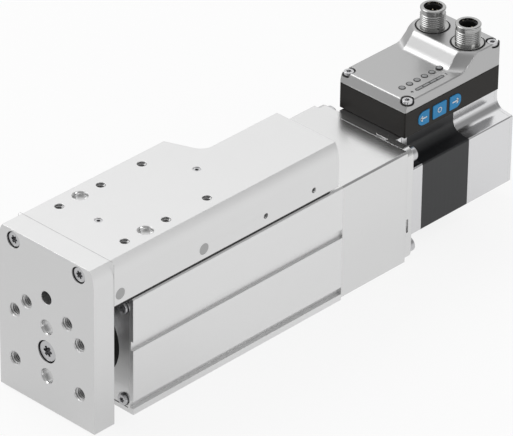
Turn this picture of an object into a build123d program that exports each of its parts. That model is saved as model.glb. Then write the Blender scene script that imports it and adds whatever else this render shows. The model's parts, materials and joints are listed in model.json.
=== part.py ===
from build123d import *
from dataclasses import dataclass
from math import asin, degrees
import os

# Miniature electric linear slide with its motor and its controller.
# Millimetres. The origin is the centre of the body's bottom face, +X is the way the table moves out,
# and +Z is up. At rest the table is all the way in.

# Fits
RUNNING_FIT = 0.05   # radial gap of what turns or slides in another piece
SEAT_FIT = 0.02      # radial gap of what is held still in its seat
FREE_GAP = 0.3       # gap between pieces that must not touch
HEAD_GAP = 0.5       # radial gap round a sunk screw head
OVERRUN = 1.0        # how far a cutter runs past the face it starts from

# Whole slide
WIDTH = 58.5
HALF = WIDTH / 2
BODY_HEIGHT = 59.5
AXIS_Z = BODY_HEIGHT - 29.5   # height of the spindle's axis
STROKE = 75.0
EDGE_CHAMFER = 0.8

# Body
BODY_LENGTH = 131.0
BODY_FRONT = BODY_LENGTH / 2
BODY_REAR = -BODY_LENGTH / 2
SIDE_GROOVES = ((3.1, 6.7, 1.9), (32.8, 37.3, 1.4))   # low edge, high edge, depth
BODY_BORE = 15.0
POCKET_HALF = 15.5
POCKET_FLOOR = BODY_HEIGHT - 10.5

# Front cap and the rod's guide
CAP_THICKNESS = 2.4
CAP_RECESS = 2.5
CAP_HALF = HALF - 2.35
CAP_BOTTOM = 2.5
CAP_CORNER = 4.0
CAP_SEAT = BODY_FRONT - CAP_RECESS
CAP_SCREW_Y = HALF - 5.85
CAP_SCREWS = [(side * CAP_SCREW_Y, z) for side in (-1, 1) for z in (5.8, BODY_HEIGHT - 6.6)]
CAP_HEAD_SINK = 1.0
WIPER_RADIUS = 20.5
WIPER_LIP = 0.6
BUSH_FLANGE_RADIUS = 17.0
BUSH_FLANGE = 2.0

# Yoke and table
YOKE_GAP = 11.5
YOKE_THICKNESS = 12.0
YOKE_BOTTOM = 0.9
YOKE_BACK = BODY_FRONT + YOKE_GAP
YOKE_FRONT = YOKE_BACK + YOKE_THICKNESS
TABLE_THICKNESS = 22.0
TABLE_BOTTOM = BODY_HEIGHT + 1.5
TABLE_TOP = TABLE_BOTTOM + TABLE_THICKNESS
TABLE_REAR = BODY_REAR + 3.5
CROWN_RADIUS = 16.0
CROWN_HEIGHT = 8.5
STEP_FRONT = YOKE_BACK - 85.95
STEP_EDGE = -8.76
STEP_RUN = 7.24
STEP_FILLET = 7.0

# Holes of the table and yoke
M4_HOLE = 2.0
M6_HOLE = 3.0
MOUTH_CHAMFER = 0.25
YOKE_MOUTH_CHAMFER = 0.5
CENTRING_RADIUS = 3.5
CENTRING_DEPTH = 2.0
GRID_HALF = 20.0
TABLE_THREADS_X = [YOKE_BACK - 15.5 - row * 25 for row in range(3)]
TABLE_THREAD_DEPTH = 10.0
TABLE_CENTRING_X = YOKE_BACK - 28.0
SET_SCREWS_X = (YOKE_BACK - 19.5, YOKE_BACK - 79.5)
SET_SCREW_RADIUS = 1.9
SET_SCREW_DEPTH = 5.0
SET_SCREW_SOCKET = 0.9
YOKE_THREADS = [(side * GRID_HALF, AXIS_Z + rise) for side in (-1, 1) for rise in (-12.5, 12.5)]
YOKE_UPPER_THREADS = [(side * 12.5, AXIS_Z + GRID_HALF) for side in (-1, 1)]
YOKE_CENTRINGS = (AXIS_Z - 12.5, AXIS_Z + 12.5)
ACCESS_HOLE = (TABLE_BOTTOM - 3.5, 3.1)   # height and radius
YOKE_SCREW_Z = TABLE_TOP - 5.0
SIDE_PLUGS_X = (YOKE_BACK - 3.8, YOKE_BACK - 54.5)
SIDE_HOLES_X = (TABLE_REAR + 46.1, TABLE_REAR + 15.7)
SIDE_HOLES_Z = TABLE_BOTTOM + 4.9
SIDE_PLUG_RADIUS = 2.7
SIDE_PLUG_DEPTH = 2.0
SIDE_HOLE_RADIUS = 1.3
SIDE_HOLE_DEPTH = 6.0

# Mounting holes in the body's bottom
BASE_THREADS_X = BODY_FRONT - 15.5
BASE_THREADS_Y = 20.0
BASE_THREAD_RADIUS = 2.5
BASE_THREAD_DEPTH = 10.0

# Rail and runner blocks
RAIL_HALF = 6.0
RAIL_HEIGHT = 8.0
RAIL_SEAT = TABLE_BOTTOM + 1.0
RAIL_BOTTOM = RAIL_SEAT - RAIL_HEIGHT
RAIL_REAR = TABLE_REAR + 2.0
RAIL_FRONT = YOKE_BACK - 2.0
RAIL_END = 5.0
RAIL_HOLES = 6
RAIL_PITCH = (RAIL_FRONT - RAIL_REAR - 2 * RAIL_END) / (RAIL_HOLES - 1)
RAIL_HEAD_SEAT = RAIL_BOTTOM + 4.6
RACE_RADIUS = 1.4
RACE_OFFSET = 0.5
RACE_Z = RAIL_BOTTOM + 3.5
RUNNER_LENGTH = 22.6
RUNNER_GAP = 1.0
RUNNER_HALF = 15.0
RUNNER_UPPER_HALF = 9.4
RUNNER_FLANGE = 4.0
RUNNER_TOP = BODY_HEIGHT - 0.5
RUNNER_SCREW_X = 7.5
RUNNER_SCREW_Y = 12.3

# Push rod, nut and spindle
ROD_RADIUS = 11.0
ROD_BORE = 6.0
ROD_BORE_END = CAP_SEAT - 5.0
NUT_LENGTH = 24.0
NUT_RADIUS = 14.0
NUT_SPIGOT = 8.0
NUT_SPIGOT_LENGTH = 10.0
BUFFER = 2.0
BUFFER_RADIUS = 13.0
END_CLEARANCE = 1.5
NUT_REAR = BODY_REAR + END_CLEARANCE + BUFFER
NUT_FRONT = NUT_REAR + NUT_LENGTH
SPINDLE_RADIUS = 5.0
SPINDLE_FRONT = ROD_BORE_END - 6.0
COLLAR_RADIUS = 7.0

# Coupling housing and spindle bearings
HOUSING_LENGTH = 42.0
HOUSING_BOTTOM = 1.4
HOUSING_REAR = BODY_REAR - HOUSING_LENGTH
LOCK_RING = 2.5
LOCK_RING_BORE = 10.0
BEARING_WIDTH = 9.0
BEARING_COUNT = 2
BEARING_SPLIT = 8.0
HOUSING_WALL = 3.0
WALL_BORE = 12.0
LOCK_NUT = 3.5
LOCK_NUT_RADIUS = 9.0
LOCK_SLOT = 3.0
CHAMBER_RADIUS = 17.0

# Claw coupling
HUB_RADIUS = 12.5
HUB_LENGTH = 7.5
HUB_JOURNAL = 4.0
HUB_CLEARANCE = 1.5
CLAW_LENGTH = 5.5
CLAW_INNER = 6.2
CLAW_ANGLE = 44.0
SPIDER_ANGLE = 15.0
SPIDER_INNER = 3.5
CLAWS = 3

# Adapter plate
ADAPTER_THICKNESS = 4.0
ADAPTER_BOTTOM = 1.0
ADAPTER_CORNER = 4.5
ADAPTER_REAR = HOUSING_REAR - ADAPTER_THICKNESS
SLOT_WIDTH = 1.3
SLOT_INSET = 0.4
SLOT_DEPTH = 1.6
SLOT_LENGTH = 7.0
SIDE_SLOT_Z = 20.1
TOP_SLOT_Y = 11.8
HOUSING_SCREW_Y = HALF - 4.45
HOUSING_SCREWS = [(side * HOUSING_SCREW_Y, z) for side in (-1, 1) for z in (6.0, BODY_HEIGHT - 5.5)]
HOUSING_THREAD_DEPTH = 10.0

# Motor
MOTOR_HALF = 22.5
MOTOR_BOTTOM = AXIS_Z - MOTOR_HALF
MOTOR_SHOULDER = AXIS_Z + 12.7
MOTOR_SHOULDER_RISE = 1.2
NECK_HALF = 12.4
NECK_TOP = BODY_HEIGHT - 0.3
NECK_FILLET = 5.5
SHOULDER_FILLET = 1.0
FLANGE_LENGTH = 13.9
STATOR_LENGTH = 31.3
REAR_CAP_LENGTH = 28.0
END_PLATE = 1.9
FLANGE_REAR = ADAPTER_REAR - FLANGE_LENGTH
STATOR_REAR = FLANGE_REAR - STATOR_LENGTH
REAR_CAP_REAR = STATOR_REAR - REAR_CAP_LENGTH
MOTOR_REAR = REAR_CAP_REAR - END_PLATE
PILOT_LENGTH = 2.0
PILOT_BORE = 13.5
MOTOR_BEARING_RADIUS = 8.0
MOTOR_BEARING_WIDTH = 5.0
MOTOR_BEARING_SPLIT = 5.0
MOTOR_SHAFT = 2.5
FLANGE_WEB = 6.5
ROTOR_RADIUS = 12.5
STATOR_BORE = 13.0
SLOT_INNER = 14.5
SLOT_OUTER = 18.5
STATOR_SLOTS = 8
STATOR_SLOT_ANGLE = 28.0
WINDING_OVERHANG = 1.8
WINDING_GAP = 0.15
CAVITY_RADIUS = 18.9
TIE_SCREWS = [(side * 19.0, AXIS_Z + rise) for side in (-1, 1) for rise in (-19.0, 8.5)]
MOTOR_SCREWS = [(side * y, AXIS_Z + rise) for side in (-1, 1) for y, rise in ((15.5, -15.5), (9.0, 18.0))]
ENCODER_BOARD = 1.6
ENCODER_BOARD_X = REAR_CAP_REAR + 8.7
ENCODER_HALF = 17.5
MAGNET_RADIUS = 4.0
MAGNET_LENGTH = 3.5
SHAFT_REAR = ENCODER_BOARD_X + 5.0

# Controller
CONTROL_LENGTH = 63.3
CONTROL_FRONT = ADAPTER_REAR - 3.6
CONTROL_REAR = CONTROL_FRONT - CONTROL_LENGTH
CONTROL_MIDDLE = (CONTROL_FRONT + CONTROL_REAR) / 2
CONTROL_HALF = 20.2
CONTROL_CORNER = 0.6
CONTROL_CHAMFER = 0.3
CONTROL_WALL = 2.0
CONTROL_BOTTOM = NECK_TOP
COVER_BOTTOM = CONTROL_BOTTOM + 13.2
GASKET = 0.3
GASKET_INSET = 0.3
LOW_TOP = COVER_BOTTOM + 5.4
HIGH_TOP = LOW_TOP + 7.2
FRONT_LEAN = 1.7
RAMP = (CONTROL_FRONT - 33.9, CONTROL_FRONT - 42.9)        # foot and crest in the middle
RAMP_SIDE = (CONTROL_FRONT - 36.9, CONTROL_FRONT - 50.4)   # foot and crest at the sides
RAMP_MIDDLE = 13.5
PLATEAU_CHAMFER = 0.4
PILLAR_RADIUS = 3.4
COVER_SCREW_Y = 18.0
COVER_SCREWS_X = (CONTROL_FRONT - 3.5, CONTROL_REAR + 3.1)
RECESS_RADIUS = 3.15
RECESS_DEPTH = 2.2
BASE_THREAD_BOTTOM = CONTROL_BOTTOM + 6.8
DUCT_X = (REAR_CAP_REAR + 12.2, REAR_CAP_REAR + 19.7)
DUCT_HALF = 6.0

# Keys: middle, width, and the side with the round end
KEYS = {
    "key_advance": (CONTROL_FRONT - 12.4, 7.0, 1),
    "key_centre": (CONTROL_FRONT - 22.95, 9.0, 0),
    "key_retract": (CONTROL_FRONT - 33.5, 7.5, -1),
}
KEY_Z = CONTROL_BOTTOM + 6.0
KEY_HEIGHT = 7.0
KEY_GAP = 0.15
KEY_PROUD = 0.25
KEY_TRAVEL = 0.4
KEY_FLANGE = 0.8
KEY_BOARD_Y = CONTROL_HALF - 5.2
KEY_BOARD = 1.0
DOME_RADIUS = 2.0

# Circuit board
BOARD_BOTTOM = COVER_BOTTOM - 3.0
BOARD = 1.6
POST_RADIUS = 2.2
POSTS = [(x, y) for x in (CONTROL_FRONT - 12.4, CONTROL_REAR + 17.9) for y in (-11.0, 11.0)]
FLOOR_TOP = CONTROL_BOTTOM + CONTROL_WALL

# Lamps and connectors
LAMP_RADIUS = 1.5
LAMP_Y = 9.5
LAMP_FIRST = CONTROL_FRONT - 9.2
LAMP_PITCH = 4.96
LAMPS = 6
BAR_Y = 15.3
BAR_ENDS = (CONTROL_FRONT - 12.1, CONTROL_FRONT - 30.5)
BAR_WIDTH = 1.6
CONNECTOR_X = CONTROL_REAR + 11.9
CONNECTOR_Y = 10.8
CONNECTOR_TOP = HIGH_TOP + 10.1
THREAD_RADIUS = 6.0
COLLAR_RING = 7.9
COLLAR_HEIGHT = 0.5
SEAL_RADIUS = 8.2
SEAL_DEPTH = 0.15
SOCKET_RADIUS = 4.4
INSERT_TOP = HIGH_TOP + 1.0
INSERT_WALL = 0.4
INSERT_RIM = HIGH_TOP + 8.8
THREAD_TOP = HIGH_TOP + 7.6
NECK_RADIUS = 5.7
NECK_LENGTH = 1.4
SHELL_BOTTOM = HIGH_TOP - 5.0
PIN_RADIUS = 0.5
PIN_TOP = HIGH_TOP + 7.0
PIN_CIRCLE = 2.75
PINS = {-1: 8, 1: 4}              # pins of the far and the near connector


@dataclass
class Screw:
    """A screw: radius of its thread and head, height of its head, and its length below the head."""

    thread: float
    head: float
    head_height: float
    length: float
    flat: bool = False

    def solid(self):
        """The screw at the origin, head seat at zero, thread along +Z."""
        bevel = self.thread / 6
        tip = [(self.thread, self.length - bevel), (self.thread - bevel, self.length), (0, self.length)]
        if self.flat:
            head = [(0, 0), (self.head, 0), (self.thread, self.head_height)]
            face = 0
        else:
            top = -self.head_height
            head = [(0, top), (self.head - bevel, top), (self.head, top + bevel), (self.head, 0), (self.thread, 0)]
            face = top
        screw = revolve(Plane.XZ * make_face(Polyline(*head, *tip, close=True)), Axis.Z)
        socket = Pos(0, 0, face) * RegularPolygon(self.head / 2, 6)
        return screw - extrude(socket, self.head_height / 2)

    def at(self, seats, direction):
        """Copies of the screw with their head seats at the given places."""
        screw = self.solid()
        return [Plane(origin=seat, z_dir=direction).location * screw for seat in seats]

    def holes(self, seats, direction, recess=0.0):
        """Cutters for the screw's thread, and for its sunk head as far as recess."""
        return [self.hole(seat, direction, recess) for seat in seats]

    def hole(self, seat, direction, recess):
        plane = Plane(origin=seat, z_dir=direction)
        shaft = self.thread + SEAT_FIT
        cutter = extrude(plane * Circle(shaft), self.length + FREE_GAP)
        if self.flat:
            head = self.head + SEAT_FIT
            cone = [(0, 0), (head, 0), (shaft, self.head_height), (0, self.head_height)]
            cutter += plane.location * revolve(Plane.XZ * make_face(Polyline(*cone, close=True)), Axis.Z)
        if recess:
            cutter += extrude(plane * Circle(self.head + HEAD_GAP), -recess)
        return cutter


CAP_SCREW = Screw(1.5, 2.75, 2.4, 9.0)
YOKE_SCREW = Screw(2.0, 3.5, 4.0, 19.0)
ROD_SCREW = Screw(3.0, 5.0, 6.0, 18.0)
RAIL_SCREW = Screw(1.5, 2.75, 3.0, 10.5)
RUNNER_SCREW = Screw(1.5, 2.75, 3.0, 9.0)
HOUSING_SCREW = Screw(2.0, 3.6, 4.0, ADAPTER_THICKNESS + HOUSING_LENGTH + HOUSING_THREAD_DEPTH)
MOTOR_SCREW = Screw(1.5, 2.75, 1.6, 10.0, flat=True)
TIE_SCREW = Screw(1.5, 2.75, 1.6, END_PLATE + REAR_CAP_LENGTH + STATOR_LENGTH + 7.0, flat=True)
COVER_SCREW_HEAD = 1.4
BOARD_SCREW = Screw(1.0, 1.8, 1.2, 6.0)
YOKE_HEAD_RECESS = 4.6
ROD_HEAD_RECESS = 6.6


# Helpers

def block(x, y, z):
    """A box between two limits on each axis."""
    limits = (x, y, z)
    middle = [(low + high) / 2 for low, high in limits]
    size = [abs(high - low) for low, high in limits]
    return Pos(*middle) * Box(*size)


def along_x(section, start, end):
    """A section drawn in (Y, Z), run from start to end."""
    return extrude(Plane.YZ.offset(min(start, end)) * section, abs(end - start))


def turned(*profile):
    """A solid turned about the spindle's axis from (x, radius) points."""
    return Pos(0, 0, AXIS_Z) * revolve(make_face(Polyline(*profile, close=True)), Axis.X)


def tube(inner, outer, start, end):
    """A plain ring about the spindle's axis."""
    return turned((start, inner), (end, inner), (end, outer), (start, outer))


def upright(x, y, *profile):
    """A solid turned about a vertical axis from (radius, z) points."""
    return Pos(x, y, 0) * revolve(Plane.XZ * make_face(Polyline(*profile, close=True)), Axis.Z)


def bore(place, direction, radius, depth, mouth=0.0):
    """Cutter for a round hole, with a bevelled mouth if one is given."""
    wall = [(radius, mouth), (radius, depth)]
    if mouth:
        wall.insert(0, (radius + mouth, 0))
    profile = Plane.XZ * make_face(Polyline((0, 0), *wall, (0, depth), close=True))
    return Plane(origin=place, z_dir=direction).location * revolve(profile, Axis.Z)


def sector(inner, outer, angle, width):
    """Part of a flat ring round the origin, with its middle at angle."""
    start = angle - width / 2
    near = CenterArc((0, 0), inner, start, width)
    far = CenterArc((0, 0), outer, start, width)
    return make_face([near, far, Line(near @ 0, far @ 0), Line(near @ 1, far @ 1)])


def bar(radius, start, end):
    """A plain round bar about the spindle's axis."""
    return turned((start, 0), (end, 0), (end, radius), (start, radius))


def mirrored(half):
    """A half section and its mirror image as one section."""
    return half + mirror(half, Plane.YZ)


FORWARD = (1, 0, 0)
BACKWARD = (-1, 0, 0)
LEFTWARD = (0, -1, 0)
UP = (0, 0, 1)
DOWN = (0, 0, -1)


# Body and front cap

def body_outline():
    outline = Pos(0, BODY_HEIGHT / 2) * Rectangle(WIDTH, BODY_HEIGHT)
    outline = chamfer(outline.vertices().group_by(Axis.Y)[-1], EDGE_CHAMFER)
    for side in (-1, 1):
        for low, high, depth in SIDE_GROOVES:
            outline -= Pos(side * HALF, (low + high) / 2) * Rectangle(2 * depth, high - low)
    return outline


def cap_outline(gap=0.0):
    """The front cap's outline; it is open to the top of the body."""
    half = CAP_HALF - gap
    low = CAP_BOTTOM + gap
    outline = Pos(0, (low + BODY_HEIGHT) / 2) * Rectangle(2 * half, BODY_HEIGHT - low)
    return fillet(outline.vertices().group_by(Axis.Y)[0], CAP_CORNER)


CAP_HEAD_SEAT = CAP_SEAT + CAP_THICKNESS - CAP_HEAD_SINK
CAP_SCREW_SEATS = [(CAP_HEAD_SEAT, y, z) for y, z in CAP_SCREWS]


def rail_notch():
    """Room for the rail where it runs through the front cap."""
    return block(
        (CAP_SEAT - FREE_GAP, BODY_FRONT + FREE_GAP),
        (-RAIL_HALF - FREE_GAP, RAIL_HALF + FREE_GAP),
        (RAIL_BOTTOM - FREE_GAP, BODY_HEIGHT + FREE_GAP),
    )


def base_profile():
    rod_bore = Pos(0, AXIS_Z) * Circle(BODY_BORE)
    pocket = Pos(0, (POCKET_FLOOR + BODY_HEIGHT) / 2 + 1) * Rectangle(
        2 * POCKET_HALF, BODY_HEIGHT - POCKET_FLOOR + 2
    )
    body = along_x(body_outline() - rod_bore - pocket, BODY_REAR, CAP_SEAT)
    body += along_x(body_outline() - cap_outline(), CAP_SEAT, BODY_FRONT)
    body -= tube(BODY_BORE - 1, BUSH_FLANGE_RADIUS + SEAT_FIT, CAP_SEAT - BUSH_FLANGE, CAP_SEAT)
    cuts = CAP_SCREW.holes(CAP_SCREW_SEATS, BACKWARD)
    cuts += HOUSING_SCREW.holes(HOUSING_SCREW_SEATS, FORWARD)
    cuts += RUNNER_SCREW.holes(RUNNER_SCREW_SEATS, DOWN)
    for side in (-1, 1):
        end = side * BASE_THREADS_X
        cuts.append(bore((end, 0, 0), UP, CENTRING_RADIUS, CENTRING_DEPTH, MOUTH_CHAMFER))
        for row in (-1, 1):
            place = (end, row * BASE_THREADS_Y, 0)
            cuts.append(bore(place, UP, BASE_THREAD_RADIUS, BASE_THREAD_DEPTH, MOUTH_CHAMFER))
    return body - cuts


def front_cap():
    hole = Pos(0, AXIS_Z) * Circle(WIPER_RADIUS + SEAT_FIT)
    cap = along_x(cap_outline(SEAT_FIT) - hole, CAP_SEAT, CAP_SEAT + CAP_THICKNESS)
    return cap - rail_notch() - CAP_SCREW.holes(CAP_SCREW_SEATS, BACKWARD, 2 * CAP_HEAD_SINK)


def rod_wiper():
    """Flat wiper ring with a raised lip round the rod and a raised rim."""
    front = CAP_SEAT + CAP_THICKNESS
    low = front - WIPER_LIP
    inner = ROD_RADIUS + RUNNING_FIT
    return turned(
        (CAP_SEAT, inner), (front, inner), (front, inner + 2), (low, inner + 3),
        (low, WIPER_RADIUS - 2), (front, WIPER_RADIUS - 1.4), (front, WIPER_RADIUS), (CAP_SEAT, WIPER_RADIUS),
    )


def rod_guide_bush():
    inner = ROD_RADIUS + RUNNING_FIT
    outer = BODY_BORE - SEAT_FIT
    flange = CAP_SEAT - BUSH_FLANGE
    rear = NUT_FRONT + BUFFER + STROKE + END_CLEARANCE
    return turned(
        (rear, inner), (CAP_SEAT, inner), (CAP_SEAT, BUSH_FLANGE_RADIUS), (flange, BUSH_FLANGE_RADIUS),
        (flange, outer), (rear, outer),
    )


# Rail and runner blocks

RUNNER_FRONT = CAP_SEAT - RUNNER_GAP
RUNNER_CENTRES = {
    "runner_block_front": RUNNER_FRONT - RUNNER_LENGTH / 2,
    "runner_block_rear": RUNNER_FRONT - 1.5 * RUNNER_LENGTH - RUNNER_GAP,
}
RUNNER_SEAT = POCKET_FLOOR + RUNNER_FLANGE
RUNNER_SCREW_SEATS = [
    (centre + end * RUNNER_SCREW_X, side * RUNNER_SCREW_Y, RUNNER_SEAT)
    for centre in RUNNER_CENTRES.values()
    for end in (-1, 1)
    for side in (-1, 1)
]
RAIL_SCREW_SEATS = [
    (RAIL_REAR + RAIL_END + index * RAIL_PITCH, 0, RAIL_HEAD_SEAT) for index in range(RAIL_HOLES)
]


def race(side, radius):
    """Cross-section of a row of balls beside the rail."""
    return Pos(side * (RAIL_HALF + RACE_OFFSET), RACE_Z) * Circle(radius)


def runner_section():
    """Flanged runner open to the top, with a ball row on each side that stands into the rail's race."""
    flange = Pos(0, POCKET_FLOOR + RUNNER_FLANGE / 2) * Rectangle(2 * RUNNER_HALF, RUNNER_FLANGE)
    upper = Pos(0, (POCKET_FLOOR + RUNNER_TOP) / 2) * Rectangle(2 * RUNNER_UPPER_HALF, RUNNER_TOP - POCKET_FLOOR)
    floor = RAIL_BOTTOM - FREE_GAP
    channel = Pos(0, (floor + RAIL_SEAT) / 2) * Rectangle(2 * (RAIL_HALF + RUNNING_FIT), RAIL_SEAT - floor)
    section = flange + upper - channel
    for side in (-1, 1):
        section += race(side, RACE_RADIUS - RUNNING_FIT)
    return section


def runner_block(centre):
    runner = along_x(runner_section(), centre - RUNNER_LENGTH / 2, centre + RUNNER_LENGTH / 2)
    return runner - RUNNER_SCREW.holes(RUNNER_SCREW_SEATS, DOWN)


def guide_rail():
    section = Pos(0, (RAIL_SEAT + RAIL_BOTTOM) / 2) * Rectangle(2 * RAIL_HALF, RAIL_HEIGHT)
    for side in (-1, 1):
        section -= race(side, RACE_RADIUS)
    rail = along_x(section, RAIL_REAR, RAIL_FRONT)
    recess = RAIL_HEAD_SEAT - RAIL_BOTTOM
    return rail - RAIL_SCREW.holes(RAIL_SCREW_SEATS, UP, recess)


# Table and yoke

def crowned(bottom):
    """Outline shared by the table and the yoke: upright sides that lean in along an arc to a sharp edge."""
    shoulder = TABLE_TOP - CROWN_HEIGHT
    lean = degrees(asin(CROWN_HEIGHT / CROWN_RADIUS))
    crown = CenterArc((HALF - CROWN_RADIUS, shoulder), CROWN_RADIUS, 0, lean)
    rest = Polyline(crown @ 1, (0, TABLE_TOP), (0, bottom), (HALF, bottom), crown @ 0)
    return mirrored(make_face([crown, rest]))


def rear_step():
    """The part taken off the table's far rear side, seen from above."""
    corner = (STEP_FRONT - STEP_RUN, STEP_EDGE)
    outer = -HALF - OVERRUN
    slope = -STEP_RUN / (STEP_EDGE + HALF - 2.5)
    front = STEP_FRONT + slope * (outer + HALF - 2.5)
    rear = TABLE_REAR - OVERRUN
    plan = make_face(Polyline((front, outer), corner, (rear, STEP_EDGE), (rear, outer), close=True))
    inner = plan.vertices().sort_by_distance((corner[0], corner[1], 0))[0]
    plan = fillet(inner, STEP_FILLET)
    return extrude(Pos(0, 0, TABLE_BOTTOM - OVERRUN) * plan, TABLE_THICKNESS + 2 * OVERRUN)


YOKE_SCREW_SEATS = [(YOKE_FRONT - YOKE_HEAD_RECESS, side * GRID_HALF, YOKE_SCREW_Z) for side in (-1, 1)]
ROD_SCREW_SEATS = [(YOKE_FRONT - ROD_HEAD_RECESS, 0, AXIS_Z)]


def table():
    plate = along_x(crowned(TABLE_BOTTOM), TABLE_REAR, YOKE_BACK) - rear_step()
    groove = block(
        (TABLE_REAR - OVERRUN, YOKE_BACK + OVERRUN),
        (-RAIL_HALF - SEAT_FIT, RAIL_HALF + SEAT_FIT),
        (TABLE_BOTTOM - OVERRUN, RAIL_SEAT),
    )
    cuts = [groove]
    for side in (-1, 1):
        y = side * GRID_HALF
        for x in TABLE_THREADS_X:
            cuts.append(bore((x, y, TABLE_TOP), DOWN, M4_HOLE, TABLE_THREAD_DEPTH, MOUTH_CHAMFER))
        cuts.append(bore((TABLE_CENTRING_X, y, TABLE_TOP), DOWN, CENTRING_RADIUS, CENTRING_DEPTH, MOUTH_CHAMFER))
    for x in SET_SCREWS_X:
        cuts.append(bore((x, 0, TABLE_TOP), DOWN, SET_SCREW_RADIUS + SEAT_FIT, SET_SCREW_DEPTH))
    for x in SIDE_PLUGS_X:
        cuts.append(bore((x, HALF, SIDE_HOLES_Z), LEFTWARD, SIDE_PLUG_RADIUS + SEAT_FIT, SIDE_PLUG_DEPTH))
    for x in SIDE_HOLES_X:
        cuts.append(bore((x, HALF, SIDE_HOLES_Z), LEFTWARD, SIDE_HOLE_RADIUS, SIDE_HOLE_DEPTH))
    cuts += RAIL_SCREW.holes(RAIL_SCREW_SEATS, UP)
    cuts += YOKE_SCREW.holes(YOKE_SCREW_SEATS, BACKWARD)
    return plate - cuts


def side_plugs():
    return [bore((x, HALF, SIDE_HOLES_Z), LEFTWARD, SIDE_PLUG_RADIUS, SIDE_PLUG_DEPTH) for x in SIDE_PLUGS_X]


def table_set_screws():
    plugs = []
    for x in SET_SCREWS_X:
        screw = bore((x, 0, TABLE_TOP - FREE_GAP), DOWN, SET_SCREW_RADIUS, SET_SCREW_DEPTH - FREE_GAP)
        socket = Pos(x, 0, TABLE_TOP - FREE_GAP) * RegularPolygon(SET_SCREW_SOCKET, 6)
        plugs.append(screw - extrude(socket, -SET_SCREW_DEPTH / 2))
    return plugs


def yoke_plate():
    plate = along_x(crowned(YOKE_BOTTOM), YOKE_BACK, YOKE_FRONT)
    cuts = YOKE_SCREW.holes(YOKE_SCREW_SEATS, BACKWARD, YOKE_HEAD_RECESS)
    cuts += ROD_SCREW.holes(ROD_SCREW_SEATS, BACKWARD, ROD_HEAD_RECESS)
    for y, z in YOKE_THREADS + YOKE_UPPER_THREADS:
        cuts.append(bore((YOKE_FRONT, y, z), BACKWARD, M6_HOLE, YOKE_THICKNESS, YOKE_MOUTH_CHAMFER))
    for z in YOKE_CENTRINGS:
        cuts.append(bore((YOKE_FRONT, 0, z), BACKWARD, CENTRING_RADIUS, CENTRING_DEPTH, MOUTH_CHAMFER))
    z, radius = ACCESS_HOLE
    cuts.append(bore((YOKE_FRONT, 0, z), BACKWARD, radius, YOKE_THICKNESS, MOUTH_CHAMFER))
    return plate - cuts


# Push rod, nut and spindle


def push_rod():
    """Hollow rod from the nut to the yoke, with a wider seat for the nut's spigot."""
    seat = NUT_SPIGOT + SEAT_FIT
    seat_end = NUT_FRONT + NUT_SPIGOT_LENGTH + FREE_GAP
    rod = turned(
        (NUT_FRONT, seat), (seat_end, seat), (seat_end, ROD_BORE), (ROD_BORE_END, ROD_BORE),
        (ROD_BORE_END, 0), (YOKE_BACK, 0), (YOKE_BACK, ROD_RADIUS - EDGE_CHAMFER),
        (YOKE_BACK - EDGE_CHAMFER, ROD_RADIUS), (NUT_FRONT, ROD_RADIUS),
    )
    return rod - ROD_SCREW.holes(ROD_SCREW_SEATS, BACKWARD)


def spindle_nut():
    hole = SPINDLE_RADIUS + RUNNING_FIT
    tail = COLLAR_RADIUS
    tail_rear = NUT_REAR - BUFFER + FREE_GAP
    spigot_front = NUT_FRONT + NUT_SPIGOT_LENGTH
    return turned(
        (tail_rear, hole), (spigot_front, hole), (spigot_front, NUT_SPIGOT), (NUT_FRONT, NUT_SPIGOT),
        (NUT_FRONT, NUT_RADIUS), (NUT_REAR, NUT_RADIUS), (NUT_REAR, tail), (tail_rear, tail),
    )


def nut_buffers():
    rear = tube(COLLAR_RADIUS + SEAT_FIT, BUFFER_RADIUS, NUT_REAR - BUFFER, NUT_REAR)
    front = tube(ROD_RADIUS + SEAT_FIT, BUFFER_RADIUS, NUT_FRONT, NUT_FRONT + BUFFER)
    return [rear, front]


BEARING_FRONT = BODY_REAR - LOCK_RING
BEARING_REAR = BEARING_FRONT - BEARING_COUNT * BEARING_WIDTH
WALL_REAR = BEARING_REAR - HOUSING_WALL
NUT_END = BEARING_REAR - LOCK_NUT
FRONT_HUB = NUT_END - HUB_CLEARANCE
CLAWS_FRONT = FRONT_HUB - HUB_LENGTH
REAR_HUB_FRONT = CLAWS_FRONT - CLAW_LENGTH - FREE_GAP
REAR_HUB_REAR = ADAPTER_REAR + PILOT_LENGTH / 4


def spindle():
    """Threaded spindle with a collar, a bearing journal and a thinner end for the coupling."""
    tip = SPINDLE_RADIUS - 1
    return turned(
        (CLAWS_FRONT, 0), (CLAWS_FRONT, HUB_JOURNAL), (NUT_END, HUB_JOURNAL), (NUT_END, SPINDLE_RADIUS),
        (BEARING_FRONT, SPINDLE_RADIUS), (BEARING_FRONT, COLLAR_RADIUS), (BODY_REAR, COLLAR_RADIUS),
        (BODY_REAR, SPINDLE_RADIUS), (SPINDLE_FRONT - 1, SPINDLE_RADIUS), (SPINDLE_FRONT, tip), (SPINDLE_FRONT, 0),
    )


def bearing_rings(inner, outer, rear, width, count=1):
    """Rings of a row of bearings, with bevelled outer edges."""
    bevel = 0.4
    rings = []
    for index in range(count):
        start = rear + index * width
        end = start + width
        rings.append(turned(
            (start, inner), (end, inner), (end, outer - bevel), (end - bevel, outer),
            (start + bevel, outer), (start, outer - bevel),
        ))
    return rings


def spindle_bearing_outer_rings():
    inner = BEARING_SPLIT + RUNNING_FIT
    return bearing_rings(inner, BODY_BORE - SEAT_FIT, BEARING_REAR, BEARING_WIDTH, BEARING_COUNT)


def spindle_bearing_inner_rings():
    inner = SPINDLE_RADIUS + SEAT_FIT
    return bearing_rings(inner, BEARING_SPLIT, BEARING_REAR, BEARING_WIDTH, BEARING_COUNT)


def bearing_lock_ring():
    return tube(LOCK_RING_BORE, BODY_BORE - SEAT_FIT, BEARING_FRONT, BODY_REAR)


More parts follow.
